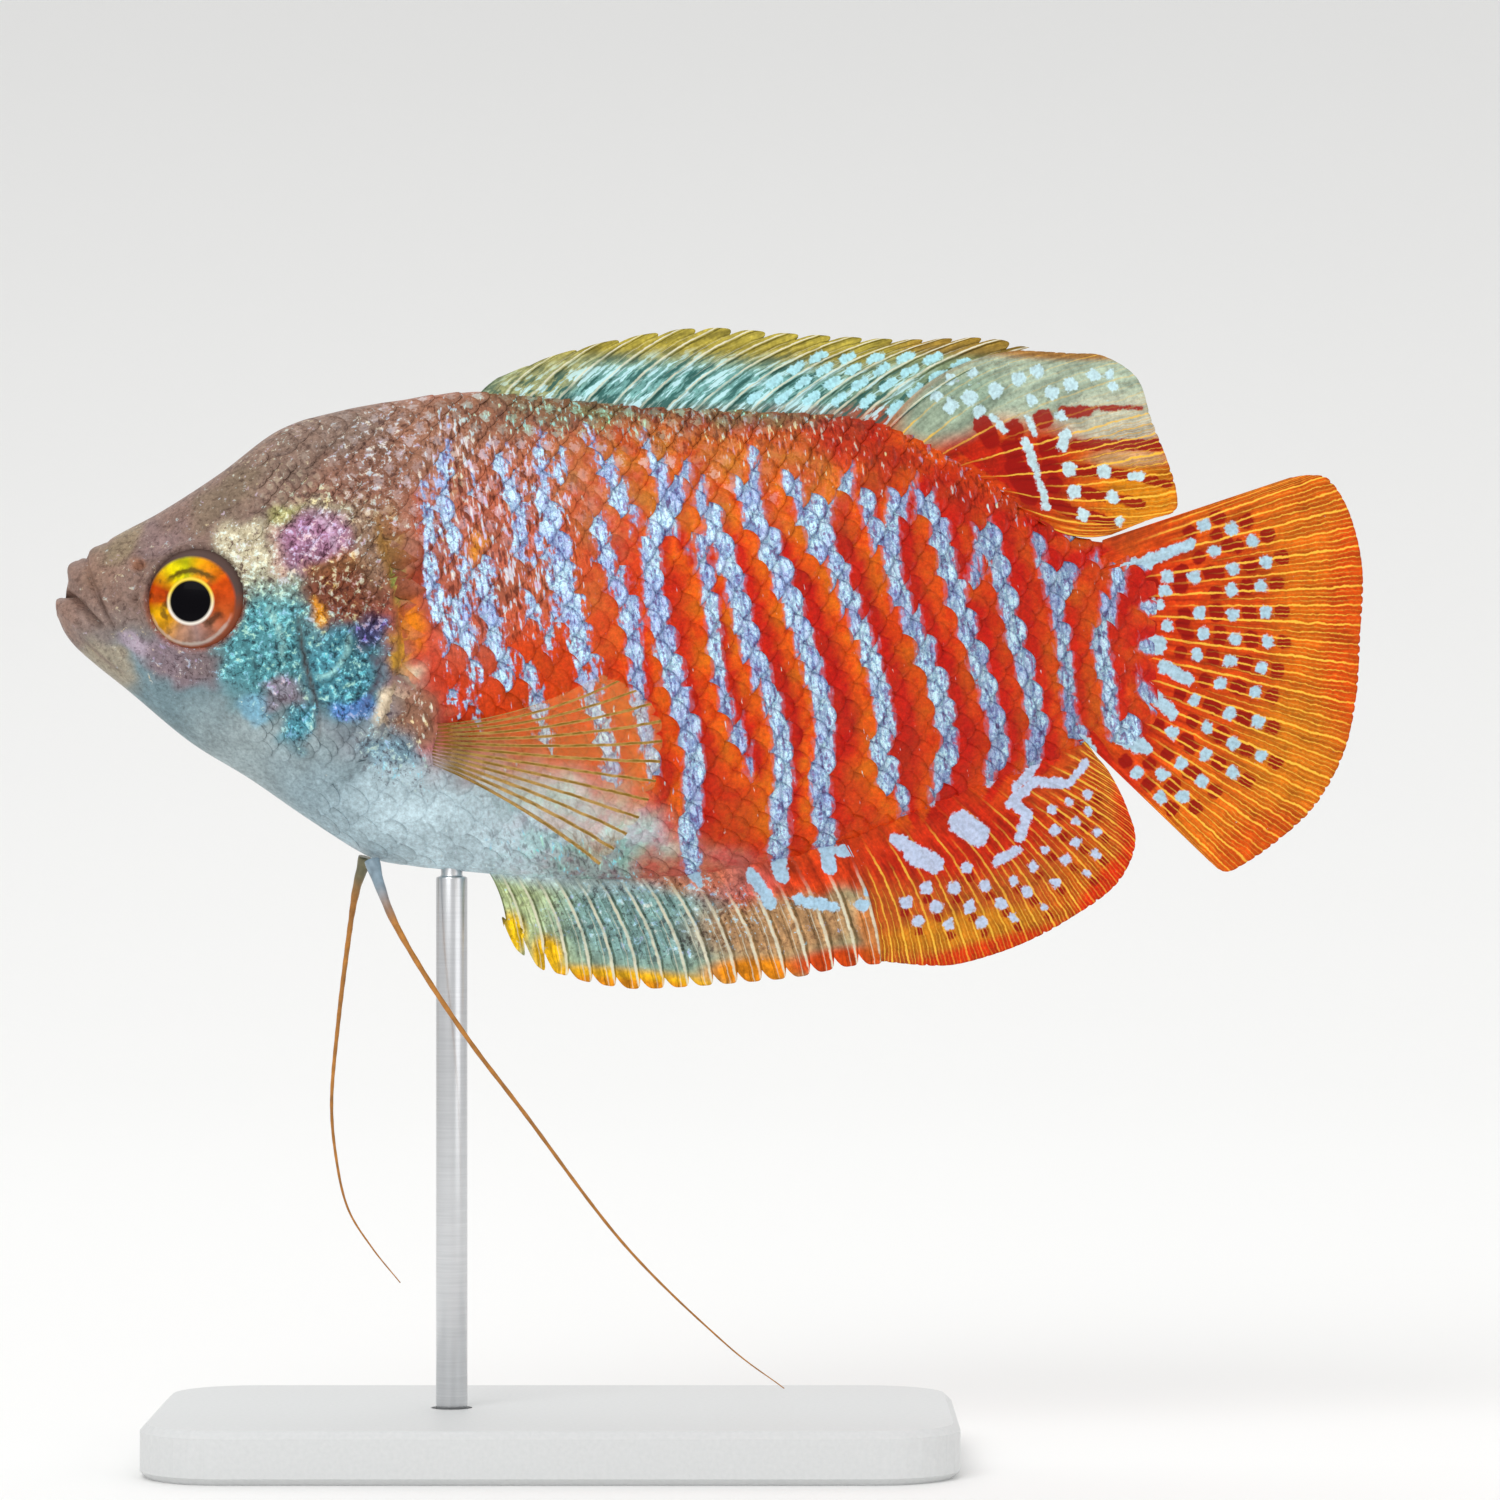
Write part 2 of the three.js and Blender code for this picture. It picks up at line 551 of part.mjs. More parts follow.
// Feelers: the threads that stand for pelvic fins, each in two lengths
const FEELER_RADIUS = 0.4;         // at the root
const FEELER_THIN = 0.25;          // from a third of the way down
const FEELER_TIP = 0.16;
const FEELER_SPLIT = 0.5;          // share of its length where the upper half ends
const FEELER_STEPS = 12;
const FEELER_HOLLOW = 0.12;       // clearance of the root under the belly, beyond the gap
const FEELERS = {
  left: [
    [-10.4, -1.3, null], [-9.9, -1.75, 32.9], [-9.0, -2.4, 30.8], [-7.2, -3.1, 27.8],
    [-4.6, -3.5, 24.0], [-1.7, -3.5, 20.2], [4.0, -2.6, 12.6], [9.7, -1.6, 6.9],
    [13.15, -1.0, 4.2],
  ],
  right: [
    [-10.9, 1.3, null], [-11.5, 1.75, 32.6], [-12.0, 2.4, 29.6], [-12.6, 3.0, 25.0],
    [-13.0, 3.2, 20.4], [-12.7, 2.9, 17.0], [-12.0, 2.5, 14.2], [-10.6, 2.1, 12.0],
    [-8.95, 1.8, 10.0],
  ],
};

function feelerCurve(points) {
  return new THREE.CatmullRomCurve3(points.map(([x, y, z]) => {
    const sine = Math.abs(y) / halfWidth(x);
    const level = widestZ(x) - (widestZ(x) - bellyZ(x)) * Math.sqrt(1 - sine * sine);
    return new THREE.Vector3(x, y, z ?? level - GAP - FEELER_HOLLOW);
  }));
}

function feelerLength(points, from, to) {
  const radiusAt = (t) => lerp(FEELER_RADIUS, FEELER_THIN, Math.min(t / 0.3, 1))
    - (FEELER_THIN - FEELER_TIP) * THREE.MathUtils.smoothstep(t, 0.85, 1);
  return solidFrom(taperedTube(feelerCurve(points), radiusAt, FEELER_STEPS, 8, from, to));
}

// Stand: a flat base with rounded corners, and one rod set in a blind hole
const BASE_EDGE = 0.4;             // chamfer of the plate
const HOLE_BOTTOM = 1;             // plate left under the rod
const HOLE_DEPTH = 4;              // of the cutter, past the plate's top

function standBase() {
  const shape = new THREE.Shape();
  const x = BASE_LENGTH / 2;
  const y = BASE_WIDTH / 2;
  const r = BASE_CORNER;
  shape.absarc(x - r, y - r, r, 0, Math.PI / 2);
  shape.absarc(-x + r, y - r, r, Math.PI / 2, Math.PI);
  shape.absarc(-x + r, -y + r, r, Math.PI, 1.5 * Math.PI);
  shape.absarc(x - r, -y + r, r, 1.5 * Math.PI, 2 * Math.PI);
  const geometry = new THREE.ExtrudeGeometry(shape, {
    depth: BASE_HEIGHT - 2 * BASE_EDGE, bevelEnabled: true, bevelThickness: BASE_EDGE,
    bevelSize: BASE_EDGE, bevelOffset: -BASE_EDGE, bevelSegments: 1, curveSegments: 4,
  });
  geometry.translate(0, 0, BASE_EDGE);
  const hole = new THREE.CylinderGeometry(ROD_RADIUS + GAP, ROD_RADIUS + GAP, HOLE_DEPTH, 16);
  hole.rotateX(Math.PI / 2);
  hole.translate(ROD_X, 0, HOLE_BOTTOM + HOLE_DEPTH / 2);
  return solidFrom(geometry).subtract(solidFrom(hole));
}

function standRod() {
  const bottom = HOLE_BOTTOM + GAP;
  const top = bellyZ(ROD_X) - GAP;
  const geometry = new THREE.CylinderGeometry(ROD_RADIUS, ROD_RADIUS, top - bottom, 16);
  geometry.rotateX(Math.PI / 2);
  geometry.translate(ROD_X, 0, (top + bottom) / 2);
  return solidFrom(geometry);
}

// Colours: brown-grey head, red-orange body, spotted fins, amber feelers
const paint = (colour, roughness, metalness = 0) => (
  new THREE.MeshStandardMaterial({ color: colour, roughness, metalness })
);
const group = new THREE.Group();

function place(name, solid, material) {
  const mesh = new THREE.Mesh(geometryFrom(solid), material);
  mesh.name = name;
  group.add(mesh);
}

place('head', headBare, paint(0x8a7468, 0.45));
place('upper_lip', upperLipSolid, paint(0x8f7163, 0.5));
place('lower_jaw', jawSolid, paint(0x87827e, 0.5));
place('gill_cover_left', coverParts[0], paint(0x6f8f96, 0.35, 0.2));
place('gill_cover_right', coverParts[1], paint(0x6f8f96, 0.35, 0.2));
place('eye_left', eyeballSolid(-1), paint(0xc2502a, 0.1));
place('eye_right', eyeballSolid(1), paint(0xc2502a, 0.1));
place('torso', torsoSolid, paint(0xc23f1c, 0.4));
place('tail_base', tailBaseSolid, paint(0xb0301a, 0.4));
place('dorsal_fin_spiny', dorsalSpiny, paint(0x8fa79a, 0.5));
place('dorsal_fin_soft', dorsalSoft, paint(0xc05a30, 0.5));
place('anal_fin_spiny', analSpiny, paint(0xa79d6e, 0.5));
place('anal_fin_soft', analSoft, paint(0xc8491c, 0.5));
place('tail_fin', tailFin, paint(0xcf5a1e, 0.5));
place('pectoral_fin_left', pectoralFin(-1), paint(0xcfc4a0, 0.4));
place('pectoral_fin_right', pectoralFin(1), paint(0xcfc4a0, 0.4));
for (const [name, points] of Object.entries(FEELERS)) {
  const halfCut = GAP / 2 / feelerCurve(points).getLength();
  const upper = feelerLength(points, 0, FEELER_SPLIT - halfCut);
  const lower = feelerLength(points, FEELER_SPLIT + halfCut, 1);
  place(`feeler_${name}_upper`, upper, paint(0xa9845a, 0.5));
  place(`feeler_${name}_lower`, lower, paint(0xb26a2c, 0.5));
}
place('stand_base', standBase(), paint(0xd9d7d2, 0.6));
place('stand_rod', standRod(), paint(0xb9bbbd, 0.3, 1));

export default group;
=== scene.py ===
"""A life-size dwarf gourami on a plain display stand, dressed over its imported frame."""
import json
import math

import bpy
import numpy as np
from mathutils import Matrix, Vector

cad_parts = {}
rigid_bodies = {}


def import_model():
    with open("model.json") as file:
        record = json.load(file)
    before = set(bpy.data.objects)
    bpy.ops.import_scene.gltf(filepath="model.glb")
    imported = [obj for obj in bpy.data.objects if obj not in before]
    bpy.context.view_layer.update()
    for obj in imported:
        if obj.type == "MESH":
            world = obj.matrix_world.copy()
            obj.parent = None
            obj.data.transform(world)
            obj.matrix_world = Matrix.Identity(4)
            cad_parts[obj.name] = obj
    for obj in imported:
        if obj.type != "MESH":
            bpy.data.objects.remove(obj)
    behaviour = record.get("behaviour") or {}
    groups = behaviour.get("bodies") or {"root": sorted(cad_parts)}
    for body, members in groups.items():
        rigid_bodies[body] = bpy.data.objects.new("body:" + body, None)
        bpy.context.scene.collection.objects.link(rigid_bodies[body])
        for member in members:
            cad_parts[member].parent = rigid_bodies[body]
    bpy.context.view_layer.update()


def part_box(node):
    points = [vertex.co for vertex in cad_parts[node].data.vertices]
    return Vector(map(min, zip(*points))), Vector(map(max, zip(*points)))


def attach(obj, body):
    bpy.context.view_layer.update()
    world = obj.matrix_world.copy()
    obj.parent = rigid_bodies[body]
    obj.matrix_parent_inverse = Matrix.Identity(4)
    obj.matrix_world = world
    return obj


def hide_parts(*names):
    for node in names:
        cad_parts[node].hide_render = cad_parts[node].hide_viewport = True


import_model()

# The room: white seamless paper swept up behind the stand, under a white sky. A wide soft
# key hangs at the upper left and a weaker fill at the right. The camera looks level.
MM = 0.001
PHOTO_CENTRE = (11.2 * MM, 40.7 * MM)
PAPER_WIDTH, PAPER_RUN, PAPER_FRONT = 4.0, 3.6, 1.6
BEND_START, BEND_RADIUS, BEND_RUN = 0.35, 0.6, 0.94


def linear(hex_colour):
    """sRGB hex to the linear colour that shaders take."""
    parts = [int(hex_colour[i:i + 2], 16) / 255 for i in (1, 3, 5)]
    return [c / 12.92 if c <= 0.04045 else ((c + 0.055) / 1.055) ** 2.4 for c in parts]


def put(value, socket):
    """Gives a socket a value or a hex colour, or links another node's output to it."""
    if isinstance(value, bpy.types.NodeSocket):
        socket.id_data.links.new(value, socket)
    else:
        socket.default_value = (*linear(value), 1) if isinstance(value, str) else value


def new_material(name, **values):
    """A material, the function that adds nodes to it, and its main shader's inputs."""
    made = bpy.data.materials.new(name)
    made.use_nodes = True
    tree = made.node_tree
    shader = tree.nodes["Principled BSDF"].inputs

    def add(kind, *first, out=None, stops=(), **named):
        """A new node's output. Its first inputs in use go by place, and the others by name
        with a capital. Names without one are settings, and stops are a ramp's colours."""
        node = tree.nodes.new("ShaderNode" + kind)
        for key in [key for key in named if key[0].islower()]:
            setattr(node, key, named.pop(key))
        for value, socket in zip(first, [s for s in node.inputs if s.enabled]):
            put(value, socket)
        for key, value in named.items():
            put(value, node.inputs[key])
        if stops:
            elements = node.color_ramp.elements
            elements.remove(elements[1])
            elements[0].color = (*linear(stops[0][1]), 1)
            for at, hex_colour in stops:
                elements.new(at).color = (*linear(hex_colour), 1)
        return node.outputs[out] if out else next(s for s in node.outputs if s.enabled)

    for key, value in values.items():
        put(value, shader[key.replace("_", " ")])
    return made, add, shader


# Matt white paper, which throws soft light back under the fish.
paper, _, _ = new_material("seamless_paper", Roughness=0.9, Base_Color="#f4f4f3")
bpy.ops.mesh.primitive_grid_add(x_subdivisions=1, y_subdivisions=60, size=1.0)
sweep = bpy.context.object
sweep.name = "paper_sweep"
for vertex in sweep.data.vertices:
    run = (vertex.co.y + 0.5) * PAPER_RUN - PAPER_FRONT
    bend = min(max((run - BEND_START) / BEND_RUN, 0.0), 1.0) * math.pi / 2
    past = max(run - BEND_START - BEND_RUN, 0.0)
    vertex.co = (vertex.co.x * PAPER_WIDTH,
                 min(run, BEND_START) + BEND_RADIUS * math.sin(bend),
                 BEND_RADIUS * (1 - math.cos(bend)) + past)
sweep.data.materials.append(paper)
bpy.ops.object.shade_smooth()

world = bpy.data.worlds.new("white_sky")
world.use_nodes = True
sky = world.node_tree.nodes["Background"].inputs
sky["Color"].default_value = (1, 1, 1, 1)
sky["Strength"].default_value = 0.75
bpy.context.scene.world = world

# name, place, size in metres and power in watts of each lamp, all aimed at the fish
for name, spot, size, watts in (("key", (-0.16, -0.34, 0.34), 0.26, 0.75),
                                ("fill", (0.34, -0.30, 0.12), 0.30, 0.22),
                                ("sweep", (0.0, 0.30, 0.50), 0.60, 1.0)):
    bpy.ops.object.light_add(type="AREA", location=spot)
    lamp = bpy.context.object
    lamp.name = name
    lamp.data.size = size
    lamp.data.energy = watts
    toward = np.array([PHOTO_CENTRE[0], 0, PHOTO_CENTRE[1]]) - np.array(spot)
    lamp.rotation_euler = (math.acos(-toward[2] / np.linalg.norm(toward)), 0,
                           math.atan2(-toward[0], toward[1]))

PHOTO_WIDTH = 86.0 * MM            # what the photograph's frame spans at the fish
LENS, SENSOR = 150.0, 36.0
bpy.context.scene.view_settings.view_transform = "Standard"
bpy.ops.object.camera_add(rotation=(math.pi / 2, 0, 0), location=(
    PHOTO_CENTRE[0], -PHOTO_WIDTH * LENS / SENSOR, PHOTO_CENTRE[1]))
camera = bpy.context.object
camera.data.lens = LENS
camera.data.sensor_width = SENSOR
camera.data.clip_start = 0.01
bpy.context.scene.camera = camera

# The stand: a steel plate with rounded corners and a satin powder coat, and one ground
# steel rod. The rod sits in a blind hole in the plate, its turned-down end in the belly.
SPIGOT_RADIUS = 0.62 * MM
SPIGOT_RISE = 1.6 * MM
ROD_EDGE = 0.12 * MM
GRIT = 0.25                        # grain of the powder coat, in millimetres

rod_low, rod_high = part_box("stand_rod")
rod_radius = (rod_high[0] - rod_low[0]) / 2
bpy.ops.mesh.primitive_cylinder_add(
    vertices=48, radius=rod_radius, depth=rod_high[2] - rod_low[2],
    location=[(a + b) / 2 for a, b in zip(rod_low, rod_high)])
rod = bpy.context.object
rod.name = "stand_rod_steel"
bpy.ops.object.transform_apply(location=True, rotation=True, scale=True)
for face in rod.data.polygons:
    face.select = face.normal.z > 0.9
for edge in rod.data.edges:
    edge.select = False
for vertex in rod.data.vertices:
    vertex.select = vertex.co.z > rod_high[2] - 1e-6
bpy.ops.object.mode_set(mode="EDIT")
bpy.ops.mesh.select_mode(type="FACE")
bpy.ops.mesh.inset(thickness=rod_radius - SPIGOT_RADIUS)
bpy.ops.mesh.extrude_region_move(TRANSFORM_OT_translate={"value": (0, 0, SPIGOT_RISE)})
bpy.ops.mesh.select_all(action="SELECT")
bpy.ops.mesh.normals_make_consistent(inside=False)
bpy.ops.mesh.select_mode(type="VERT")
bpy.ops.object.mode_set(mode="OBJECT")
rounding = rod.modifiers.new("edge", "BEVEL")
rounding.width = ROD_EDGE
rounding.segments = 2
bpy.ops.object.modifier_apply(modifier="edge")
bpy.ops.object.shade_smooth_by_angle(angle=math.radians(40))
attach(rod, "root")
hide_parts("stand_rod")


def dress(piece, material):
    """Gives a piece its one material."""
    piece.data.materials.clear()
    piece.data.materials.append(material)


# Powder coat: a fine orange-peel grain, satin, that softens every highlight.
powder, add, shader = new_material("powder_coated_steel", Roughness=0.42)
grain = add("TexNoise", add("TexCoord", out="Object"), Scale=1 / (GRIT * MM), Detail=2.0)
put(add("Mix", grain, "#cfd1d1", "#dcdddd", data_type="RGBA"), shader["Base Color"])
put(add("Bump", Height=grain, Strength=0.25, Distance=0.03 * MM), shader["Normal"])
plate = next(o for o in bpy.data.objects if o.name.startswith("stand_base"))
plate.data.materials.clear()
plate.data.materials.append(powder)

# Ground steel: fine rings round the rod from the grinding, bright with a soft streak.
steel, add, shader = new_material("ground_steel", Metallic=1.0, Roughness=0.28)
rings = add("Mapping", add("TexCoord", out="Object"), Scale=(300, 300, 9000))
grain = add("TexNoise", rings, Scale=1.0)
put(add("Mix", grain, "#c4c6c8", "#dcdddf", data_type="RGBA"), shader["Base Color"])
dress(rod, steel)

# The skin: one smooth closed body from the lips to the root of the tail, a little inside
# the solids by the depth of the scales. All its sizes are in millimetres until it is made.
EYE = np.array([-20.25, 49.3])     # middle of the orbit, along the body and up
SNOUT, SKIN_END = -28.5, 34.6
WIDEST = 0.47                      # share of the depth, from the belly, where it is widest
SKIN_DEPTH = 0.06                  # the skin lies this far inside the solids


def through(*knots):
    """Smooth curve through (x, value) knots, with slopes from the neighbouring knots."""
    xs, ys = np.array(knots, float).T
    before = np.maximum(np.arange(len(xs)) - 1, 0)
    after = np.minimum(np.arange(len(xs)) + 1, len(xs) - 1)
    slope = (ys[after] - ys[before]) / (xs[after] - xs[before])

    def value(x):
        i = np.clip(np.searchsorted(xs, x) - 1, 0, len(xs) - 2)
        h = xs[i + 1] - xs[i]
        t = np.clip((x - xs[i]) / h, 0, 1)
        rise = ys[i] * (1 + 2 * t) * (1 - t) ** 2 + ys[i + 1] * t * t * (3 - 2 * t)
        return rise + h * t * (1 - t) * (slope[i] * (1 - t) - slope[i + 1] * t)
    return value


back_z = through(
    (-28.6, 49.0), (-28.1, 49.6), (-27.7, 51.0), (-26.9, 51.8), (-25.2, 53.0),
    (-22.6, 54.4), (-19.2, 56.6), (-15.8, 59.1), (-12.3, 60.2), (-8.9, 60.8),
    (-4.6, 61.25), (5.4, 60.5), (16.9, 60.0), (20.4, 59.0), (25.5, 56.0), (27.8, 54.1),
    (30.1, 52.9), (33.4, 52.4), (34.6, 51.6))
belly_z = through(
    (-28.6, 48.6), (-28.1, 47.4), (-27.2, 46.3), (-24.4, 44.0), (-20.9, 41.1),
    (-17.5, 39.0), (-14.0, 36.6), (-10.6, 34.5), (-8.9, 34.1), (-5.4, 33.7), (0.3, 33.25),
    (5.4, 33.3), (11.2, 34.0), (16.9, 35.5), (22.1, 37.6), (28.4, 39.9), (30.4, 41.1),
    (33.4, 40.9), (34.6, 41.8))
half_width = through(
    (-28.6, 0.45), (-27.9, 1.25), (-26.1, 2.35), (-23.2, 3.35), (-20.6, 4.05), (-17, 4.6),
    (-13, 5.05), (-9, 5.25), (-4, 5.15), (3, 4.7), (10, 4.0), (17, 3.2), (23, 2.35),
    (28.5, 1.5), (31.5, 1.05), (34.6, 0.12))


def widest_z(x):
    """Height at which the body is widest."""
    return belly_z(x) + WIDEST * (back_z(x) - belly_z(x))


def body_point(x, a, side):
    """Surface point at angle a from the back (0) to the belly (pi), side -1 left, +1 right."""
    up = a < math.pi / 2
    middle = widest_z(x)
    height = np.where(up, back_z(x) - middle, middle - belly_z(x))
    bulge = np.abs(np.sin(a)) ** np.where(up, 1.25, 1.08)
    return np.stack([x, side * half_width(x) * bulge, middle + height * np.cos(a)], -1)


def step(value, low, high):
    """Rises smoothly from 0 at low to 1 at high."""
    t = np.clip((value - low) / (high - low), 0, 1)
    return t * t * (3 - 2 * t)


def line_offset(x, z, knots):
    """Distance to a smooth line of (x, z) knots, the side of it and the share along it."""
    knots = np.array(knots, float)
    share = np.linspace(0, 1, len(knots))
    fine = np.linspace(0, 1, 6 * len(knots))
    curve = np.stack([through(*zip(share, knots[:, k]))(fine) for k in (0, 1)], -1)
    best = np.full(x.shape, 1e9)
    side = np.zeros(x.shape)
    along = np.zeros(x.shape)
    for i in range(len(curve) - 1):
        (ax, az), (bx, bz) = curve[i], curve[i + 1]
        dx, dz = bx - ax, bz - az
        t = np.clip(((x - ax) * dx + (z - az) * dz) / (dx * dx + dz * dz), 0, 1)
        px, pz = x - ax - t * dx, z - az - t * dz
        distance = np.hypot(px, pz)
        closer = distance < best
        best = np.where(closer, distance, best)
        side = np.where(closer, np.sign(pz * dx - px * dz), side)
        along = np.where(closer, (i + t) / (len(curve) - 1), along)
    return best, side, along


GILL_EDGE = [(-10.4, 55.4), (-9.6, 52.8), (-8.8, 49.3), (-8.6, 46.4), (-9.0, 43.6),
             (-10.2, 41.0), (-12.0, 39.0), (-14.6, 37.9)]
CHEEK_GROOVE = [(-14.4, 48.6), (-14.2, 47.0), (-13.9, 45.4), (-13.4, 43.6), (-13.2, 41.6)]
GROOVES = [                        # knots, depth, half-width: creases of the head
    (CHEEK_GROOVE, 0.17, 0.13),
    ([(-16.1, 54.9), (-16.3, 53.2), (-16.0, 51.8)], 0.10, 0.10),
    ([(-11.4, 49.4), (-11.9, 46.6), (-13.6, 45.4)], 0.07, 0.09),
    ([(-9.6, 47.6), (-10.2, 44.6), (-11.2, 42.6)], 0.06, 0.09),
    ([(-17.4, 42.8), (-15.4, 43.6), (-13.8, 43.0)], 0.05, 0.12),
    ([(-27.0, 52.6), (-26.7, 51.2), (-26.2, 50.0), (-25.6, 48.7), (-25.0, 47.6)], 0.20, 0.12),
    ([(-25.7, 53.2), (-25.4, 51.4), (-25.0, 49.8), (-24.4, 48.2)], 0.08, 0.14),
    ([(-26.9, 46.9), (-25.6, 45.6), (-24.4, 44.9)], 0.05, 0.12),
    ([(-24.8, 47.1), (-24.1, 45.6), (-23.0, 43.6)], 0.07, 0.16),
]
NOSTRILS = [(-23.8, 49.3, 0.15), (-23.6, 51.2, 0.22)]    # place and half-width
NOSTRIL_DEPTH, NOSTRIL_RIM = 0.45, 0.07
LIPS = [                           # knots, height, half-width: rolls round the mouth
    ([(-27.9, 51.9), (-27.5, 50.9), (-26.8, 49.9), (-26.1, 48.9), (-25.4, 47.9)], 0.34, 0.42),
    ([(-28.6, 49.2), (-27.9, 48.6), (-27.1, 47.9), (-26.2, 47.2), (-25.2, 46.8)], 0.30, 0.40),
    ([(-26.5, 52.7), (-26.1, 51.3), (-25.6, 49.9), (-25.0, 48.4), (-24.5, 47.2)], 0.17, 0.36),
]
MOUTH = [(-29.6, 49.85), (-28.0, 49.65), (-27.1, 49.05), (-26.2, 48.1), (-25.4, 47.3)]
MOUTH_DEPTH, MOUTH_HALF = 0.62, 0.17
ORBIT = (2.48, 2.82, 1.1)          # flat floor and edge of the pit, and its depth
ORBIT_RIMS = [(3.02, 0.24, 0.26), (3.6, 0.28, -0.09)]    # radius, half-width, height


def relief(x, z):
    """How far the skin stands out or in, for what is finer than the body's form."""
    out = np.zeros(x.shape)
    for knots, height, width in LIPS:
        distance, _, along = line_offset(x, z, knots)
        ends = 1 - step(along, 0.6, 1.0)
        out += height * np.exp(-(distance / width) ** 2) * ends
    distance, _, along = line_offset(x, z, MOUTH)
    out -= MOUTH_DEPTH * np.exp(-(distance / MOUTH_HALF) ** 2) * (1 - step(along, 0.75, 1.0))
    ring = np.hypot(x - EYE[0], z - EYE[1])
    out -= ORBIT[2] * (1 - step(ring, *ORBIT[:2]))
    for radius, width, height in ORBIT_RIMS:
        out += height * np.exp(-((ring - radius) / width) ** 2)
    # the gill cover swells toward its free edge, with a hollow behind it
    distance, side, along = line_offset(x, z, GILL_EDGE)
    ends = step(along, 0.0, 0.12) * (1 - step(along, 0.75, 1.0))
    behind = side * distance
    lip = np.where(behind < 0, 0.34 * np.exp(behind / 1.7), -0.16 * np.exp(-behind / 0.9))
    out += lip * ends
    for knots, depth, width in GROOVES:
        distance, _, along = line_offset(x, z, knots)
        ends = np.sin(math.pi * np.clip(along * 0.9 + 0.05, 0, 1)) ** 0.5
        out -= depth * np.exp(-(distance / width) ** 2) * ends
        out += 0.4 * depth * np.exp(-((distance - 2.4 * width) / (1.4 * width)) ** 2) * ends
    for nx, nz, width in NOSTRILS:
        spot = np.hypot(x - nx, z - nz)
        out += NOSTRIL_RIM * np.exp(-((spot - 1.9 * width) / width) ** 2)
        out -= NOSTRIL_DEPTH * np.exp(-(spot / width) ** 2)
    # the fleshy root of the pectoral fin
    shoulder = ((x + 7.4) / 1.5) ** 2 + ((z - 41.5) / 2.3) ** 2
    out += 0.75 * np.exp(-shoulder ** 1.5)
    return out


def body_normal(x, a, side):
    """Outward direction at body_point."""
    h = 1e-3
    along = body_point(x + h, a, side) - body_point(x - h, a, side)
    round_ = body_point(x, a + h, side) - body_point(x, a - h, side)
    out = np.cross(along, round_) * side[..., None]
    return out / np.maximum(np.linalg.norm(out, axis=-1, keepdims=True), 1e-12)


def plain_mesh(name, points, face_groups, uv, values, colours):
    """A smooth mesh from millimetre points, with its bake map and painted attributes."""
    mesh = bpy.data.meshes.new(name)
    faces = [face for group in face_groups for face in group.tolist()]
    mesh.from_pydata((points * MM).tolist(), [], faces)
    mesh.polygons.foreach_set("use_smooth", [True] * len(faces))
    corners = np.empty(len(mesh.loops), int)
    mesh.loops.foreach_get("vertex_index", corners)
    mesh.uv_layers.new(name="OFBake").data.foreach_set("uv", uv[corners].ravel())
    for key, value in values.items():
        mesh.attributes.new(key, "FLOAT", "POINT").data.foreach_set("value", value.ravel())
    for key, value in colours.items():
        full = np.concatenate([value, np.ones((len(value), 1))], 1)
        mesh.attributes.new(key, "FLOAT_COLOR", "POINT").data.foreach_set("color", full.ravel())
    piece = bpy.data.objects.new(name, mesh)
    bpy.context.scene.collection.objects.link(piece)
    return piece


def face_outward(piece, open_ends=False):
    """Turns a mesh's faces outward, once its open ends are closed."""
    bpy.ops.object.select_all(action="DESELECT")
    piece.select_set(True)
    bpy.context.view_layer.objects.active = piece
    bpy.ops.object.mode_set(mode="EDIT")
    if open_ends:
        bpy.ops.mesh.select_all(action="DESELECT")
        bpy.ops.mesh.select_non_manifold()
        bpy.ops.mesh.fill_holes(sides=0)
    bpy.ops.mesh.select_all(action="SELECT")
    bpy.ops.mesh.normals_make_consistent(inside=False)
    bpy.ops.object.mode_set(mode="OBJECT")
    piece.select_set(False)


def grid_faces(rows, columns, wrap=False):
    """Quads of a grid of rows by columns points, closed across the columns if wrap."""
    r, c = np.meshgrid(np.arange(rows - 1), np.arange(columns if wrap else columns - 1),
                       indexing="ij")
    beside = (c + 1) % columns
    return np.stack([r * columns + c, r * columns + beside, (r + 1) * columns + beside,
                     (r + 1) * columns + c], -1).reshape(-1, 4)


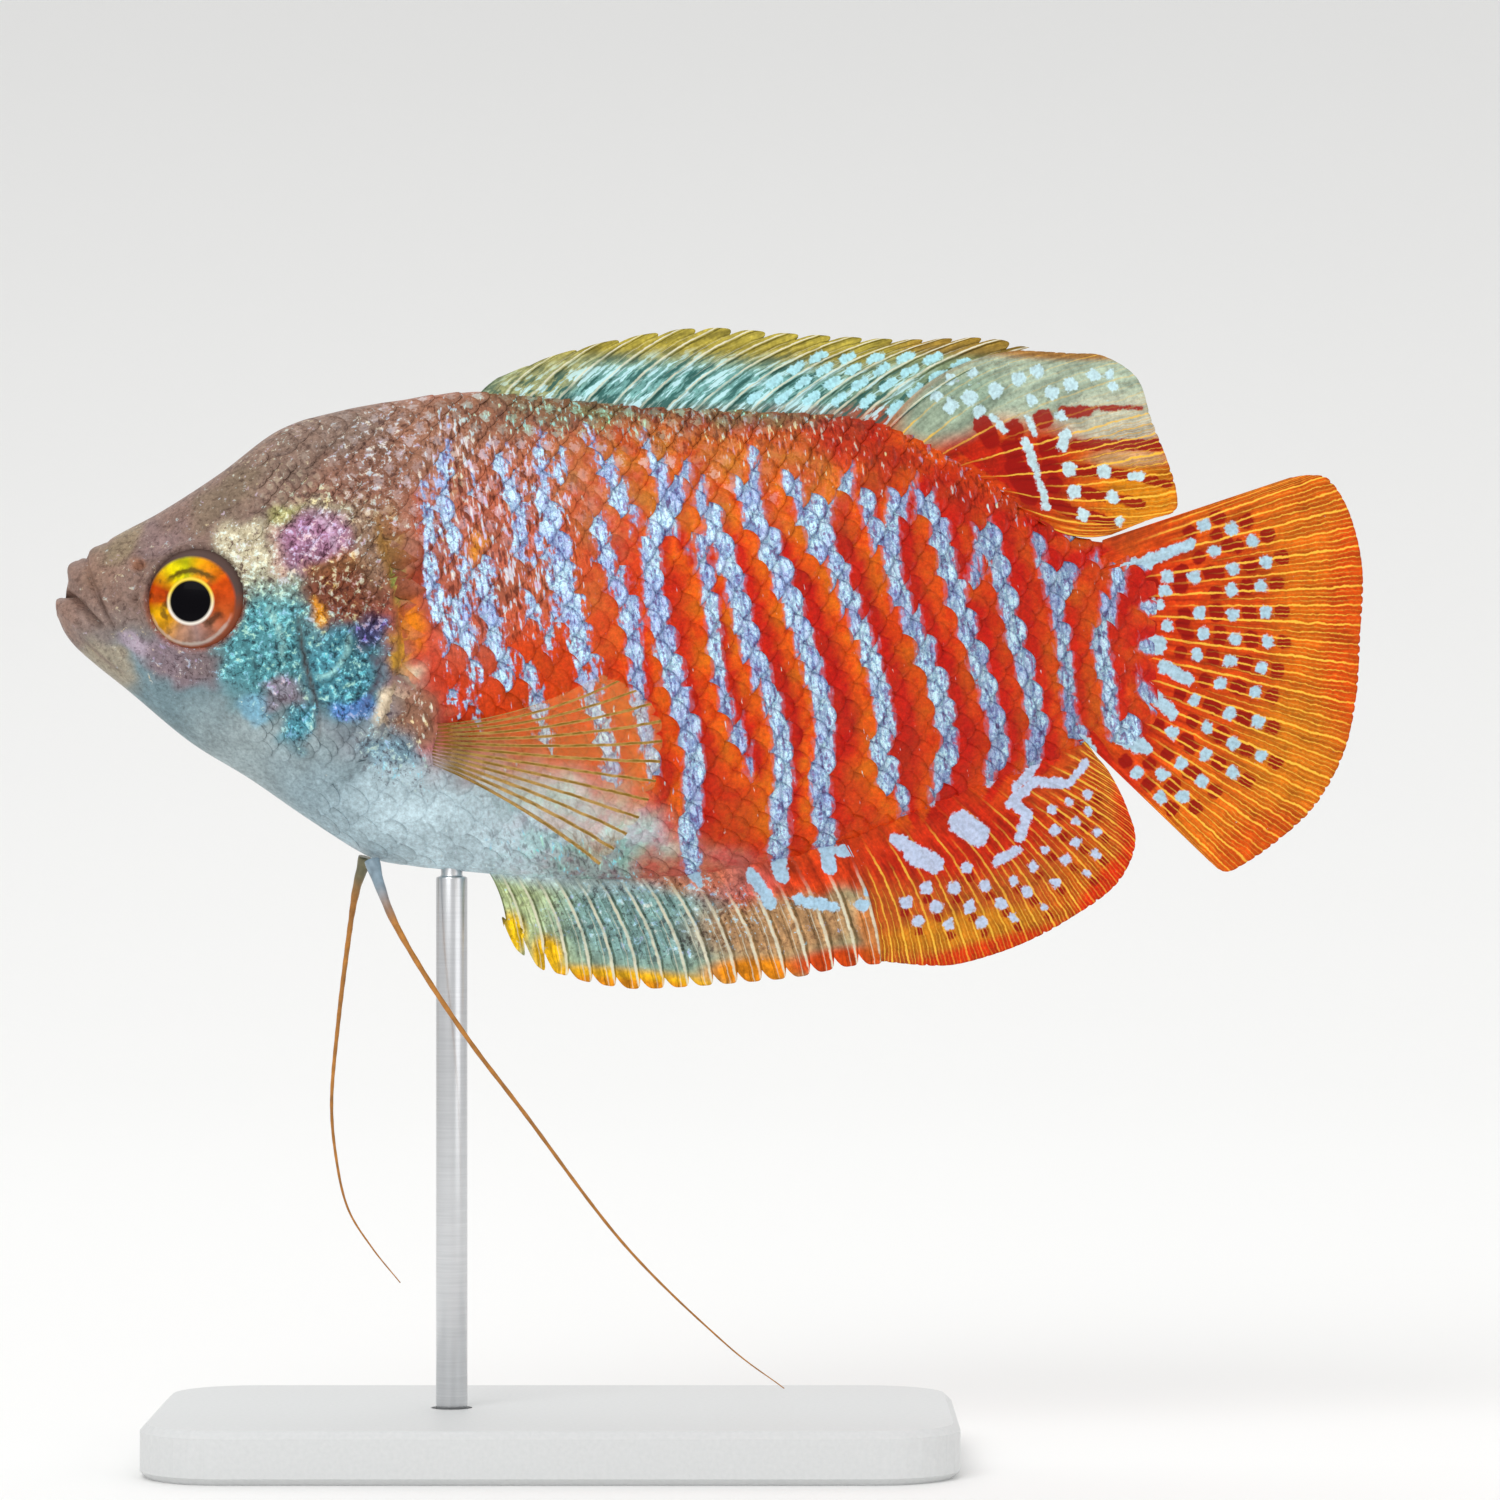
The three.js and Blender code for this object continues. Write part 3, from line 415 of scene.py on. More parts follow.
# Markings, shared by the skin, the scales and the roots of the fins. Each wash is a soft
# patch of pigment: place, half-sizes, lean in degrees, colour and strength.
FLANK = "#cf3410"
LID_LOW, LID_HIGH = "#8a4a33", "#5c4944"  # skin below and above the eye
WASHES = [
    (22.0, 49.0, 13.0, 13.0, 0, "#b3160c", 0.85), (14.0, 57.0, 14.0, 3.2, -4, "#b7320f", 0.7),
    (3.0, 44.0, 9.0, 8.0, 0, "#d9470f", 0.8), (12.0, 37.0, 10.0, 3.6, 6, "#cc4310", 0.8),
    (30.5, 45.0, 3.2, 6.0, 0, "#c24310", 0.7), (31.5, 53.6, 4.0, 1.8, -8, "#b04a16", 0.8),
    (-4.5, 58.8, 11.0, 3.6, 0, "#94674f", 0.95), (-9.5, 56.0, 5.5, 6.5, 0, "#a07058", 0.9),
    (7.0, 60.2, 11.0, 1.2, -3, "#7d6a48", 0.85), (8.0, 56.0, 10.0, 3.2, -4, "#cc702a", 0.95),
    (-1.5, 53.0, 6.5, 5.5, 0, "#bd6a4a", 0.8), (-5.0, 50.6, 3.0, 6.0, 8, "#b0604a", 0.7),
    (2.0, 49.5, 1.5, 6.0, 10, "#d05c24", 0.75),
    # the head and the underside, ground first
    (-19.5, 47.0, 11.5, 14.0, 0, "#86695c", 1.0), (-2.0, 33.6, 13.0, 3.8, -4, "#a6b6ba", 1.0),
    (-11.0, 41.0, 4.6, 4.6, 0, "#8d959c", 1.0),
    (-22.0, 52.5, 8.0, 5.0, 28, "#8a7065", 1.0), (-14.5, 58.0, 6.5, 3.0, 24, "#8b7264", 1.0),
    (-27.0, 49.4, 4.6, 5.0, 0, "#8d7266", 1.0), (-19.6, 42.0, 8.5, 4.0, -36, "#728990", 1.0),
    (-15.2, 39.4, 6.4, 3.2, -32, "#97a6a9", 1.0), (-9.5, 37.0, 7.5, 3.6, -14, "#90a5ad", 1.0),
    (-2.5, 36.0, 9.5, 4.2, -8, "#bdd3db", 1.0), (3.5, 34.2, 4.6, 1.3, 0, "#93a19e", 0.9),
    (-25.6, 45.6, 2.0, 1.3, -42, "#a59a86", 0.9), (-20.9, 45.7, 2.9, 1.3, -22, "#86757c", 1.0),
    (-23.7, 46.7, 1.3, 0.8, -30, "#b09fae", 0.8), (-23.7, 51.3, 0.7, 0.5, 0, "#a8683f", 0.45),
    (-24.6, 52.6, 1.6, 0.9, 30, "#958a68", 0.5),
    (-18.6, 55.2, 3.0, 1.0, 38, "#7d7058", 0.5), (-22.4, 52.6, 1.5, 1.0, 20, "#8b7578", 0.5),
    (-26.0, 50.6, 1.2, 1.2, 0, "#9a7a66", 0.5),
    (-11.0, 55.6, 4.0, 2.2, 18, "#8c5f4c", 0.7), (7.4, 33.6, 3.4, 1.6, -8, "#c8602c", 0.75),
    # between the eye and the gill cover: cream, then turquoise
    (-14.4, 50.8, 2.6, 3.0, -20, "#9c8a88", 0.95), (-12.6, 54.1, 3.0, 0.8, -16, "#a99a80", 0.85),
    (-11.6, 47.4, 2.6, 1.2, 0, "#6f6670", 0.8),
    (-16.3, 49.9, 2.9, 2.6, 0, "#8f9a86", 0.9), (-17.4, 52.2, 2.1, 1.9, 15, "#cdc2a2", 0.95),
    (-15.5, 52.0, 0.8, 1.8, 0, "#c4a490", 0.9), (-15.0, 54.1, 1.3, 0.7, 20, "#a8a468", 0.9),
    (-13.5, 52.4, 2.2, 1.9, 0, "#a4718f", 0.95), (-12.1, 51.0, 1.9, 1.1, 0, "#a46c38", 0.9),
    (-16.1, 46.3, 3.2, 3.6, -14, "#4e919a", 0.95), (-11.6, 45.2, 2.7, 3.3, 0, "#428494", 0.95),
    (-14.4, 42.2, 0.9, 1.8, -24, "#4590a2", 0.9), (-16.8, 43.1, 0.8, 0.8, 0, "#7fb3cc", 0.8),
    (-15.4, 43.9, 1.2, 0.8, 0, "#8b7c88", 0.8), (-11.1, 43.0, 1.1, 0.8, 0, "#5a8cd0", 0.9),
    (-20.0, 45.6, 1.5, 1.1, -25, "#7a6a6c", 0.9),
    # the gill cover and what borders it
    (-11.9, 49.5, 2.6, 1.6, 0, "#7c422c", 0.95), (-13.2, 48.5, 0.5, 0.75, 0, "#f0a020", 0.95),
    (-10.2, 47.4, 0.9, 1.3, 0, "#38305a", 0.9), (-10.2, 52.2, 1.3, 2.8, 10, "#94745c", 0.9),
    (-9.0, 51.6, 0.5, 2.8, 10, "#a87a34", 0.8), (-8.4, 50.0, 0.5, 0.9, 0, "#9ac45c", 0.7),
    (-7.9, 48.0, 1.0, 1.7, 6, "#dc7a10", 1.0), (-8.7, 46.2, 0.5, 1.0, 0, "#dba52e", 0.9),
    (-8.2, 45.1, 0.6, 0.8, 0, "#cdb48a", 0.9), (-7.4, 53.2, 0.45, 2.2, 4, "#a8492e", 0.8),
    (-4.2, 51.9, 0.25, 1.0, 0, "#f09a0a", 0.8), (-7.4, 50.8, 0.6, 1.3, 0, "#8c2c10", 0.85),
    (-7.7, 42.2, 1.4, 2.2, -10, "#8a5f45", 0.9), (-8.9, 43.6, 0.55, 2.6, -36, "#e2d0b4", 1.0),
    (-8.8, 40.8, 2.0, 1.1, -20, "#7b9dae", 0.9),
]
# Pale bars of the male: knots from the back down, and half-width
BARS = [
    ([(-7.3, 55.2), (-6.9, 52.5), (-7.0, 51.1), (-6.6, 48.8), (-6.0, 47.6), (-5.5, 45.7)], 0.36),
    ([(-6.0, 58.3), (-6.2, 55.6), (-5.8, 52.5), (-5.1, 51.1), (-4.9, 50.2)], 0.36),
    ([(-4.7, 50.0), (-5.0, 48.0), (-4.8, 46.3), (-4.3, 44.9)], 0.33),
    ([(-4.4, 56.2), (-4.6, 54.6)], 0.23), ([(-5.2, 49.6), (-5.6, 48.4), (-5.5, 47.2)], 0.27),
    ([(-3.5, 51.0), (-3.9, 49.2), (-3.3, 47.6), (-3.2, 46.2), (-2.7, 45.3), (-2.9, 43.8)], 0.46),
    ([(-3.3, 57.6), (-2.9, 55.8), (-2.1, 54.6), (-1.7, 52.9), (-1.9, 51.7), (-1.6, 50.4)], 0.42),
    ([(-1.3, 49.3), (-1.0, 48.0), (-0.2, 46.5)], 0.40), ([(-0.8, 58.4), (-0.7, 56.2)], 0.29),
    ([(-0.7, 55.2), (-0.4, 54.0), (0.2, 52.5), (0.6, 50.9), (0.8, 49.2), (1.4, 47.6),
      (1.7, 45.6), (2.4, 44.7)], 0.57),
    ([(-0.5, 52.8), (-0.6, 51.2), (0.2, 49.6)], 0.31), ([(0.4, 56.8), (0.6, 55.4)], 0.29),
    ([(0.2, 48.4), (0.4, 47.2)], 0.29), ([(2.0, 58.4), (2.3, 57.2)], 0.23),
    ([(-1.4, 44.9), (-1.0, 43.6), (-0.6, 42.0), (-0.4, 40.8)], 0.40),
    ([(1.7, 44.6), (2.3, 43.0), (2.9, 41.0), (3.5, 38.9)], 0.48),
    ([(4.5, 44.4), (4.9, 43.2), (5.1, 41.8), (5.6, 40.1), (5.9, 38.4)], 0.42),
    ([(-4.6, 43.4), (-4.2, 41.8)], 0.29), ([(-6.0, 44.6), (-5.6, 43.2)], 0.29),
    ([(2.6, 57.6), (3.4, 55.2), (4.6, 53.3)], 0.50),
    ([(2.5, 53.2), (2.8, 51.8), (3.4, 49.7)], 0.52),
    ([(3.7, 50.5), (4.2, 48.2), (4.0, 47.0)], 0.34),
    ([(4.5, 48.4), (4.6, 46.4), (4.9, 43.6)], 0.44),
    ([(5.2, 57.9), (6.5, 54.5), (5.6, 51.6), (6.0, 48.2), (7.2, 43.0), (8.0, 39.6),
      (7.7, 35.0), (8.3, 32.8)], 0.57),
    ([(7.7, 56.8), (6.7, 53.3), (7.7, 51.6)], 0.32),
    ([(8.3, 52.8), (9.0, 48.2), (9.6, 43.6), (11.2, 39.6)], 0.37),
    ([(8.3, 55.0), (10.0, 51.0), (11.2, 46.4), (12.5, 43.0), (13.1, 39.9), (12.8, 34.7),
      (13.4, 32.6)], 0.55),
    ([(11.5, 57.1), (11.2, 53.9), (12.0, 52.5), (13.5, 49.0), (14.7, 45.3), (15.5, 41.9),
      (15.2, 38.4), (15.7, 34.4), (16.2, 33.0)], 0.57),
    ([(10.4, 55.6), (11.3, 53.6)], 0.37),
    ([(13.2, 56.2), (14.7, 52.8)], 0.47),
    ([(16.9, 55.9), (14.7, 52.8), (15.8, 51.6), (16.9, 48.7), (18.1, 45.3), (18.9, 41.9),
      (18.6, 39.9), (20.0, 37.3)], 0.55),
    ([(20.6, 55.6), (19.2, 53.3), (19.5, 49.9), (20.9, 46.4), (22.0, 43.6), (22.5, 40.1),
      (21.6, 37.6)], 0.51),
    ([(17.6, 55.0), (18.5, 52.2)], 0.39),
    ([(20.6, 55.0), (21.8, 53.3), (22.6, 49.9), (23.8, 46.7), (24.8, 43.6), (25.5, 40.7),
      (24.9, 38.7)], 0.50),
    ([(22.9, 49.4), (24.5, 50.9)], 0.29),
    ([(24.9, 53.6), (25.5, 50.5), (26.2, 47.6), (27.1, 44.2), (27.7, 41.6), (27.2, 39.3),
      (26.2, 38.0), (26.9, 35.6)], 0.47),
    ([(23.9, 53.0), (24.9, 51.9)], 0.34),
    ([(27.2, 53.0), (28.4, 49.9), (29.1, 46.4), (29.4, 43.3), (29.5, 41.9), (30.7, 40.6),
      (30.4, 39.3), (27.5, 38.6)], 0.39),
    ([(28.7, 49.6), (31.0, 51.5)], 0.39),
    ([(20.2, 59.2), (20.9, 58.8)], 0.22), ([(21.9, 58.0), (22.9, 57.4)], 0.26),
    ([(23.4, 57.6), (24.3, 56.8)], 0.24), ([(24.6, 56.7), (26.0, 55.8), (27.0, 54.9)], 0.22),
    ([(26.2, 57.0), (26.6, 56.2)], 0.18), ([(29.2, 52.9), (30.4, 53.0)], 0.20),
    ([(33.7, 48.9), (34.8, 48.7)], 0.34), ([(33.6, 46.6), (34.8, 46.7)], 0.45),
    ([(33.5, 44.6), (34.4, 43.3), (35.4, 42.8)], 0.36),
    ([(31.4, 42.2), (32.8, 41.8), (33.7, 40.5)], 0.36),
    ([(36.4, 52.5), (34.1, 51.6), (32.7, 50.9), (32.1, 49.3), (31.2, 46.7), (31.8, 43.6),
      (31.8, 42.1), (33.8, 40.4)], 0.47),
]
GLINTS = [                         # fields of small iridescent specks, as the washes are
    (-20.0, 51.0, 10.0, 7.0, 28, "#b8a49a", 0.55), (-25.6, 48.4, 4.0, 5.0, 0, "#bca898", 0.45),
    (-14.5, 57.6, 6.5, 3.2, 24, "#c8b8a4", 0.66), (-8.0, 57.0, 6.0, 5.0, 0, "#dcd6dc", 0.85),
    (-3.0, 53.0, 5.5, 7.5, 0, "#dcd6ea", 0.84), (-5.9, 54.6, 0.6, 3.4, 0, "#f6e8a4", 1.0),
    (7.0, 59.4, 14.0, 1.8, -3, "#9adcc4", 0.75), (14.0, 57.6, 9.0, 2.0, -6, "#e0a07a", 0.5),
    (24.5, 56.4, 7.0, 2.2, -28, "#b88c9c", 0.6),
    (1.0, 34.6, 5.6, 1.9, -14, "#7fd8e4", 0.62), (6.0, 37.5, 3.0, 2.0, 0, "#9fc8d8", 0.3),
    (-13.8, 48.6, 6.4, 7.0, 0, "#d8e0d2", 0.92), (-12.0, 54.2, 4.2, 1.9, -20, "#efe4b8", 0.92),
    (-20.9, 45.7, 2.9, 1.4, -20, "#b8a4b8", 0.75), (-16.4, 50.2, 2.9, 2.8, 0, "#e6efd0", 1.0),
    (-17.5, 52.3, 2.0, 2.0, 0, "#fffdea", 1.0), (-15.1, 53.6, 1.5, 1.3, 0, "#f4efae", 1.0),
    (-13.5, 52.4, 2.3, 2.0, 0, "#f0c4ee", 1.0), (-12.2, 50.9, 2.0, 1.2, 0, "#f8d488", 1.0),
    (-11.6, 49.2, 2.6, 1.4, 0, "#c79a58", 0.85), (-16.2, 46.6, 3.4, 3.6, -14, "#78e2e8", 1.0),
    (-11.6, 45.3, 2.8, 3.3, 0, "#5fd6e4", 1.0), (-14.3, 42.2, 1.2, 2.0, -24, "#6ddcf0", 1.0),
    (-15.4, 43.9, 1.0, 0.8, 0, "#c79ac6", 0.9), (-13.2, 48.5, 0.6, 0.9, 0, "#ffc84a", 0.8),
    (-10.2, 47.3, 1.0, 1.4, 0, "#7a5cc8", 0.7), (-11.0, 42.9, 1.3, 1.0, 0, "#6f9cff", 1.0),
    (-10.0, 52.4, 1.4, 2.8, 10, "#d8c2b4", 0.85), (-8.6, 40.4, 3.0, 2.2, -30, "#a4def0", 0.9),
    (-7.6, 42.6, 1.2, 1.8, 0, "#ffe9c0", 0.9),
]

# the dark lines among these that follow a groove of the relief or the gill cover's edge are
# painted shade in those creases
HEAD_LINES_AND_CREASE_SHADE = [                        # lines of the head: knots, half-width, colour, strength
    ([(-13.6, 44.8), (-12.5, 45.0), (-11.7, 46.0), (-11.4, 47.4)], 0.11, "#b9efe6", 0.8),
    ([(-13.4, 44.4), (-12.3, 44.7), (-11.4, 45.7), (-11.1, 47.0)], 0.12, "#2f4f52", 0.8),
    ([(-10.9, 46.9), (-10.1, 45.9), (-9.7, 45.0), (-10.3, 43.8), (-10.8, 42.8)], 0.15,
     "#4d2f3c", 0.85),
    ([(-14.0, 49.3), (-13.4, 50.6), (-12.4, 51.2), (-11.0, 51.0), (-10.1, 49.9), (-9.3, 48.3)],
     0.14, "#54301c", 0.8),
    ([(-17.9, 47.2), (-17.0, 45.9), (-16.8, 44.6)], 0.11, "#35585c", 0.75),
    ([(-16.2, 48.8), (-15.4, 47.4), (-15.2, 45.8)], 0.10, "#c4efe2", 0.7),
    ([(-18.4, 53.4), (-17.5, 53.0), (-16.9, 52.0)], 0.10, "#7c6a48", 0.7),
    ([(-15.4, 53.4), (-14.8, 52.2), (-15.0, 51.0)], 0.10, "#7a5468", 0.7),
    ([(-13.6, 54.2), (-12.6, 53.2), (-12.3, 51.9)], 0.10, "#f2dcf2", 0.7),
    (CHEEK_GROOVE, 0.15, "#54372c", 0.85),
    ([(-16.1, 54.9), (-16.3, 53.2), (-16.0, 51.8)], 0.13, "#5c4238", 0.8),
    ([(-10.0, 53.6), (-9.2, 50.6), (-8.7, 47.4), (-8.8, 44.8), (-9.6, 42.2)], 0.16,
     "#6a4a1e", 0.75),
    ([(-16.9, 44.6), (-16.0, 43.7), (-14.9, 43.2)], 0.10, "#3f4c4c", 0.6),
    ([(-26.0, 50.0), (-25.5, 48.7), (-25.0, 47.6)], 0.12, "#5a443c", 0.6),
    ([(-26.9, 47.1), (-25.8, 46.0), (-24.6, 45.1)], 0.10, "#6b5048", 0.6),
]


def patch_weight(x, z, patch):
    px, pz, rx, rz, lean = patch[:5]
    c, s = math.cos(math.radians(lean)), math.sin(math.radians(lean))
    u = ((x - px) * c + (z - pz) * s) / rx
    v = ((z - pz) * c - (x - px) * s) / rz
    return 1 - step(np.hypot(u, v), 0.55, 1.25)


def strayed(x, z):
    """Places moved about a little, so that a wash has no smooth outline."""
    luck = np.random.default_rng(3)
    moved_x, moved_z = x.copy(), z.copy()
    for wave in (3.7, 2.4, 1.6, 1.1, 0.8):
        for moved in (moved_x, moved_z):
            turn, phase = luck.uniform(0, 2 * math.pi, 2)
            moved += 0.065 * wave * np.sin(
                2 * math.pi * (x * math.cos(turn) + z * math.sin(turn)) / wave + phase)
    return moved_x, moved_z


def bar_field(x, z):
    """How far inside the nearest bar a point is, and its offset from that bar's middle."""
    bar = np.full(len(x), -3.0)
    middle = np.zeros(len(x))
    for knots, width in BARS:
        distance, side, along = line_offset(x, z, knots)
        taper = 0.55 + 0.45 * np.minimum(step(along, 0, 0.12), 1 - step(along, 0.9, 1))
        inside = width * taper - distance
        closer = inside > bar
        bar = np.where(closer, inside, bar)
        middle = np.where(closer, side * distance, middle)
    return bar, middle


def over(tone, colour, weight):
    """The colours of points, moved toward another colour by each point's weight."""
    weight = weight[:, None]
    other = np.array(linear(colour)) if isinstance(colour, str) else colour
    return tone * (1 - weight) + other * weight


def markings(x, z, bar_z=None):
    """Colour washes, bars and specks at points of the body's side. The bars step down from
    one pair of scale rows to the next: bar_z is the height that a scale reads them at."""
    tone = np.tile(linear(FLANK), (len(x), 1))
    astray = strayed(x, z)
    for patch in WASHES:
        tone = over(tone, patch[5], patch_weight(*astray, patch) * patch[6])
    glint = np.tile(linear("#dfe9ee"), (len(x), 1))
    speck = 0.05 + 0.14 * (1 - step(x, -4.0, 4.0)) + 0.12 * step(z, 56.0, 58.5)
    for patch in GLINTS:
        weight = patch_weight(*astray, patch)
        glint = over(glint, patch[5], weight)
        speck = np.maximum(speck, weight * patch[6])
    near, beside = bar_field(x, z)
    bar, middle = (near, beside) if bar_z is None else bar_field(x, bar_z)
    # deep red behind each bar and orange ahead of it, from the shoulder to the tail
    rear = step(x, 1.0, 9.0) * step(z, 34.0, 37.0)
    after = np.where(beside > 0, 1 - step(-near, 0.35, 1.15), 0.0) * rear * 0.85
    before = np.where(beside < 0, 1 - step(-near, 0.1, 1.5), 0.0) * rear * 0.85
    before = before * (1 - 0.65 * step(x, 16, 26))
    high = step(z + 0.25 * x, 51.0, 59.0) * (1 - step(x, 14.0, 22.0))
    after = after * (1 - 0.6 * high)
    tone = over(over(tone, "#bf1a08", after), "#e6620a", before)
    # lines of the head; where a dark one lies in a groove or along the gill cover's edge it is
    # painted shade, and specks are fewer on every line
    for knots, width, hex_colour, strength in HEAD_LINES_AND_CREASE_SHADE:
        distance, _, along = line_offset(x, z, knots)
        ends = np.sin(math.pi * np.clip(along * 0.94 + 0.03, 0, 1)) ** 0.5
        weight = strength * ends * np.exp(-(distance / width) ** 2)
        tone = over(tone, hex_colour, weight)
        speck = speck * (1 - 0.8 * weight)
    # the lid: brown below the eye, slate above it
    ring = np.hypot(x - EYE[0], z - EYE[1])
    low = 1 - step(z - EYE[1], -1.0, 1.0)
    lid_colour = over(np.array([linear(LID_HIGH)]), LID_LOW, low)
    tone = over(tone, lid_colour, 0.9 * np.exp(-((ring - 2.80) / 0.20) ** 2))
    wander = 0.42 + 0.63 * (1 - step(x, 1.0, 7.0))
    pip = np.maximum(
        step(z, 51.0, 54.5) * (1 - step(x, -3.0, 5.0)) * (0.3 + 0.2 * step(x, -12.0, -9.0)),
        0.55 * step(z + 0.25 * x, 56.5, 59.0) * (1 - step(x, 6.0, 18.0)))
    return {"bar": bar, "middle": middle, "speck": speck, "wander": wander, "pip": pip}, {
        "tone": tone, "glint": glint}


# stations along the body stand closer where its outline is steep, and at the head
STATIONS, AROUND = 330, 176
POLE = 0.002                       # the least angle from the back and from the belly
fine_x = np.linspace(SNOUT, SKIN_END, 4000)
slope = np.maximum(np.abs(np.gradient(back_z(fine_x), fine_x)),
                   np.abs(np.gradient(belly_z(fine_x), fine_x)))
density = np.hypot(1, np.minimum(slope, 6)) * (1 + 2.2 * (1 - step(fine_x, -26.5, -22.0))
                                               + 0.5 * (1 - step(fine_x, -12.0, -6.0)))
ticks = np.concatenate([[0], np.cumsum((density[1:] + density[:-1]) / 2)])
station_x = np.interp(np.linspace(0, 1, STATIONS), ticks / ticks[-1], fine_x)
angle = np.linspace(0, 2 * math.pi, AROUND, endpoint=False)
xs, turns = np.meshgrid(station_x, angle, indexing="ij")
sides = np.where(turns > math.pi, -1.0, 1.0)
folded = np.where(turns > math.pi, 2 * math.pi - turns, turns)
folded = np.clip(folded, POLE, math.pi - POLE)
skin_points = body_point(xs, folded, sides)
skin_points[:, 0, 1] = 0
skin_points[:, AROUND // 2, 1] = 0
outward = body_normal(xs, folded, sides)
flat = np.abs(np.sin(folded)) < 0.01
outward[flat] = np.where(np.cos(folded[flat])[:, None] > 0, [0, 0, 1], [0, 0, -1])
flank_only = np.maximum(step(np.abs(np.sin(folded)), 0.05, 0.3), 1 - step(xs, -25.5, -24.0))
height = relief(xs, skin_points[..., 2]) * flank_only - SKIN_DEPTH
height *= step(station_x, SNOUT, SNOUT + 0.12)[:, None]
skin_points = (skin_points + outward * height[..., None]).reshape(-1, 3)


def bake_place(x, turn):
    """Where a point of the body lies on the bake map, from the snout and round the body."""
    return np.stack([0.01 + 0.98 * (x - SNOUT) / (SKIN_END - SNOUT),
                     0.005 + 0.99 * turn / (2 * math.pi)], -1)


skin = plain_mesh("skin", skin_points, [grid_faces(STATIONS, AROUND, wrap=True)],
                  bake_place(xs, turns).reshape(-1, 2),
                  *markings(skin_points[:, 0], skin_points[:, 2]))
face_outward(skin, open_ends=True)
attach(skin, "root")
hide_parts("head", "upper_lip", "lower_jaw", "gill_cover_left", "gill_cover_right",
            "torso", "tail_base")

# The pigment: skin and scales carry one finish, a wet slime coat over red and brown
# pigment cells, with pale reflecting cells in the bars that look blue-white.
GRAIN = 0.24                       # pigment cells, drawn a little coarser to show
CELL = 0.38                        # crackle of reflecting cells, drawn coarser still
RAGGED, CLOUD = 0.45, 1.7          # frayed edges, and the mottling of the ground
FLECK = (0.21 * MM, 0.5 * MM, 0.8 * MM)
LEAF = (0.44 * MM, 0.6 * MM, 0.86 * MM)
BANDS = [(0.78, "#8e7fa2"), (0.87, "#9daacf"), (0.96, "#acd9f0"), (1.05, "#daffff"),
         (1.13, "#b0c0e2"), (1.25, "#d4f2fc")]


def mosaic(add, place, ground, glint, speck, streak=None):
    """Reflecting cells on the crests of a fine crackle, dark ones in its furrows. Behind the
    head they lie in streaks."""
    crackle = add("TexNoise", place, Scale=1 / (CELL * MM), Detail=3.0, Roughness=0.74,
                  Distortion=0.3)
    if streak is not None:
        behind = add("MapRange", add("SeparateXYZ", place, out="X"), -9 * MM, -6 * MM)
        crackle = add("Mix", behind, crackle, streak)
    hues = add("TexNoise", place, Scale=1 / (1.9 * CELL * MM), Detail=2.0, Distortion=0.6)
    rainbow = add("ValToRGB", hues, stops=[
        (0.38, "#b48ad0"), (0.46, "#7fd3e2"), (0.54, "#dcefe6"), (0.62, "#efd77e")])
    glint = add("Mix", 0.34, glint, rainbow, data_type="RGBA")
    white = add("Mix", 0.6, glint, "#fdfdf4", data_type="RGBA")
    dusk = add("VectorMath", ground, (0.30, 0.23, 0.25), operation="MULTIPLY")
    # where each begins on the crackle without specks, how far specks move it, its run
    for begin, moved, run, most, target in (
            (0.47, 0.0, -0.11, speck, dusk), (0.72, -0.21, 0.09, 0.85, glint),
            (0.84, -0.21, 0.08, 0.85, white)):
        start = add("Math", speck, moved, begin, operation="MULTIPLY_ADD")
        end = add("Math", start, run, operation="ADD")
        chosen = add("MapRange", crackle, start, end, 0, most, interpolation_type="SMOOTHSTEP")
        ground = add("Mix", chosen, ground, target, data_type="RGBA")
    return ground


# Wet skin: a low sheen, with washes of colour, pale reflecting bars, flecks and crackle.
scaled_skin, add, shader = new_material(
    "scaled_skin", Roughness=0.42, IOR=1.4, Specular_IOR_Level=0.16, Coat_Weight=0.05,
    Coat_Roughness=0.12)
place = add("TexCoord", out="Object")
along_body = add("SeparateXYZ", place, out="X")
tone, glint = (add("Attribute", attribute_name=key) for key in ("tone", "glint"))
bar, middle, wander, speck, pip, shade, drawn, toward_free, toward_side = (
    add("Attribute", out="Fac", attribute_name=key)
    for key in ("bar", "middle", "wander", "speck", "pip", "shade", "plate", "toward_free",
                "toward_side"))
ragged = add("TexNoise", place, Scale=1 / (RAGGED * MM), Detail=3.0, Roughness=0.65)
cloud = add("TexNoise", place, Scale=1 / (CLOUD * MM), Detail=4.0, Roughness=0.6)
grain = add("TexNoise", place, Scale=1 / (GRAIN * MM), Detail=3.0, Roughness=0.7)
leaning = add("Mapping", place, Rotation=(0, math.radians(-9), 0), Scale=FLECK,
              vector_type="TEXTURE")
fleck = add("TexNoise", leaning, Scale=1.0, Detail=2.0)

# ground pigment, mottled, with a mosaic of reflecting and dark cells in it
cloudy = add("MapRange", cloud, 0.3, 0.7, 0.80, 1.18)
gritty = add("MapRange", grain, 0.3, 0.7, 0.74, 1.26)
lift = add("Math", shade, 0.10, cloudy, operation="MULTIPLY_ADD")
lift = add("Math", lift, gritty, operation="MULTIPLY")
ground = add("VectorMath", tone, lift, operation="SCALE")
ground = mosaic(add, place, ground, glint, speck, fleck)

# deep red and orange blots behind the shoulder
shouldered = add("MapRange", along_body, -4 * MM, 4 * MM, 0, 0.75)
for low, high, tint in ((0.52, 0.60, (0.82, 0.38, 0.45)), (0.47, 0.40, (1.06, 1.6, 1.4))):
    blot = add("MapRange", cloud, low, high)
    blot = add("Math", blot, shouldered, operation="MULTIPLY")
    tinted = add("VectorMath", ground, tint, operation="MULTIPLY")
    ground = add("Mix", blot, ground, tinted, data_type="RGBA")

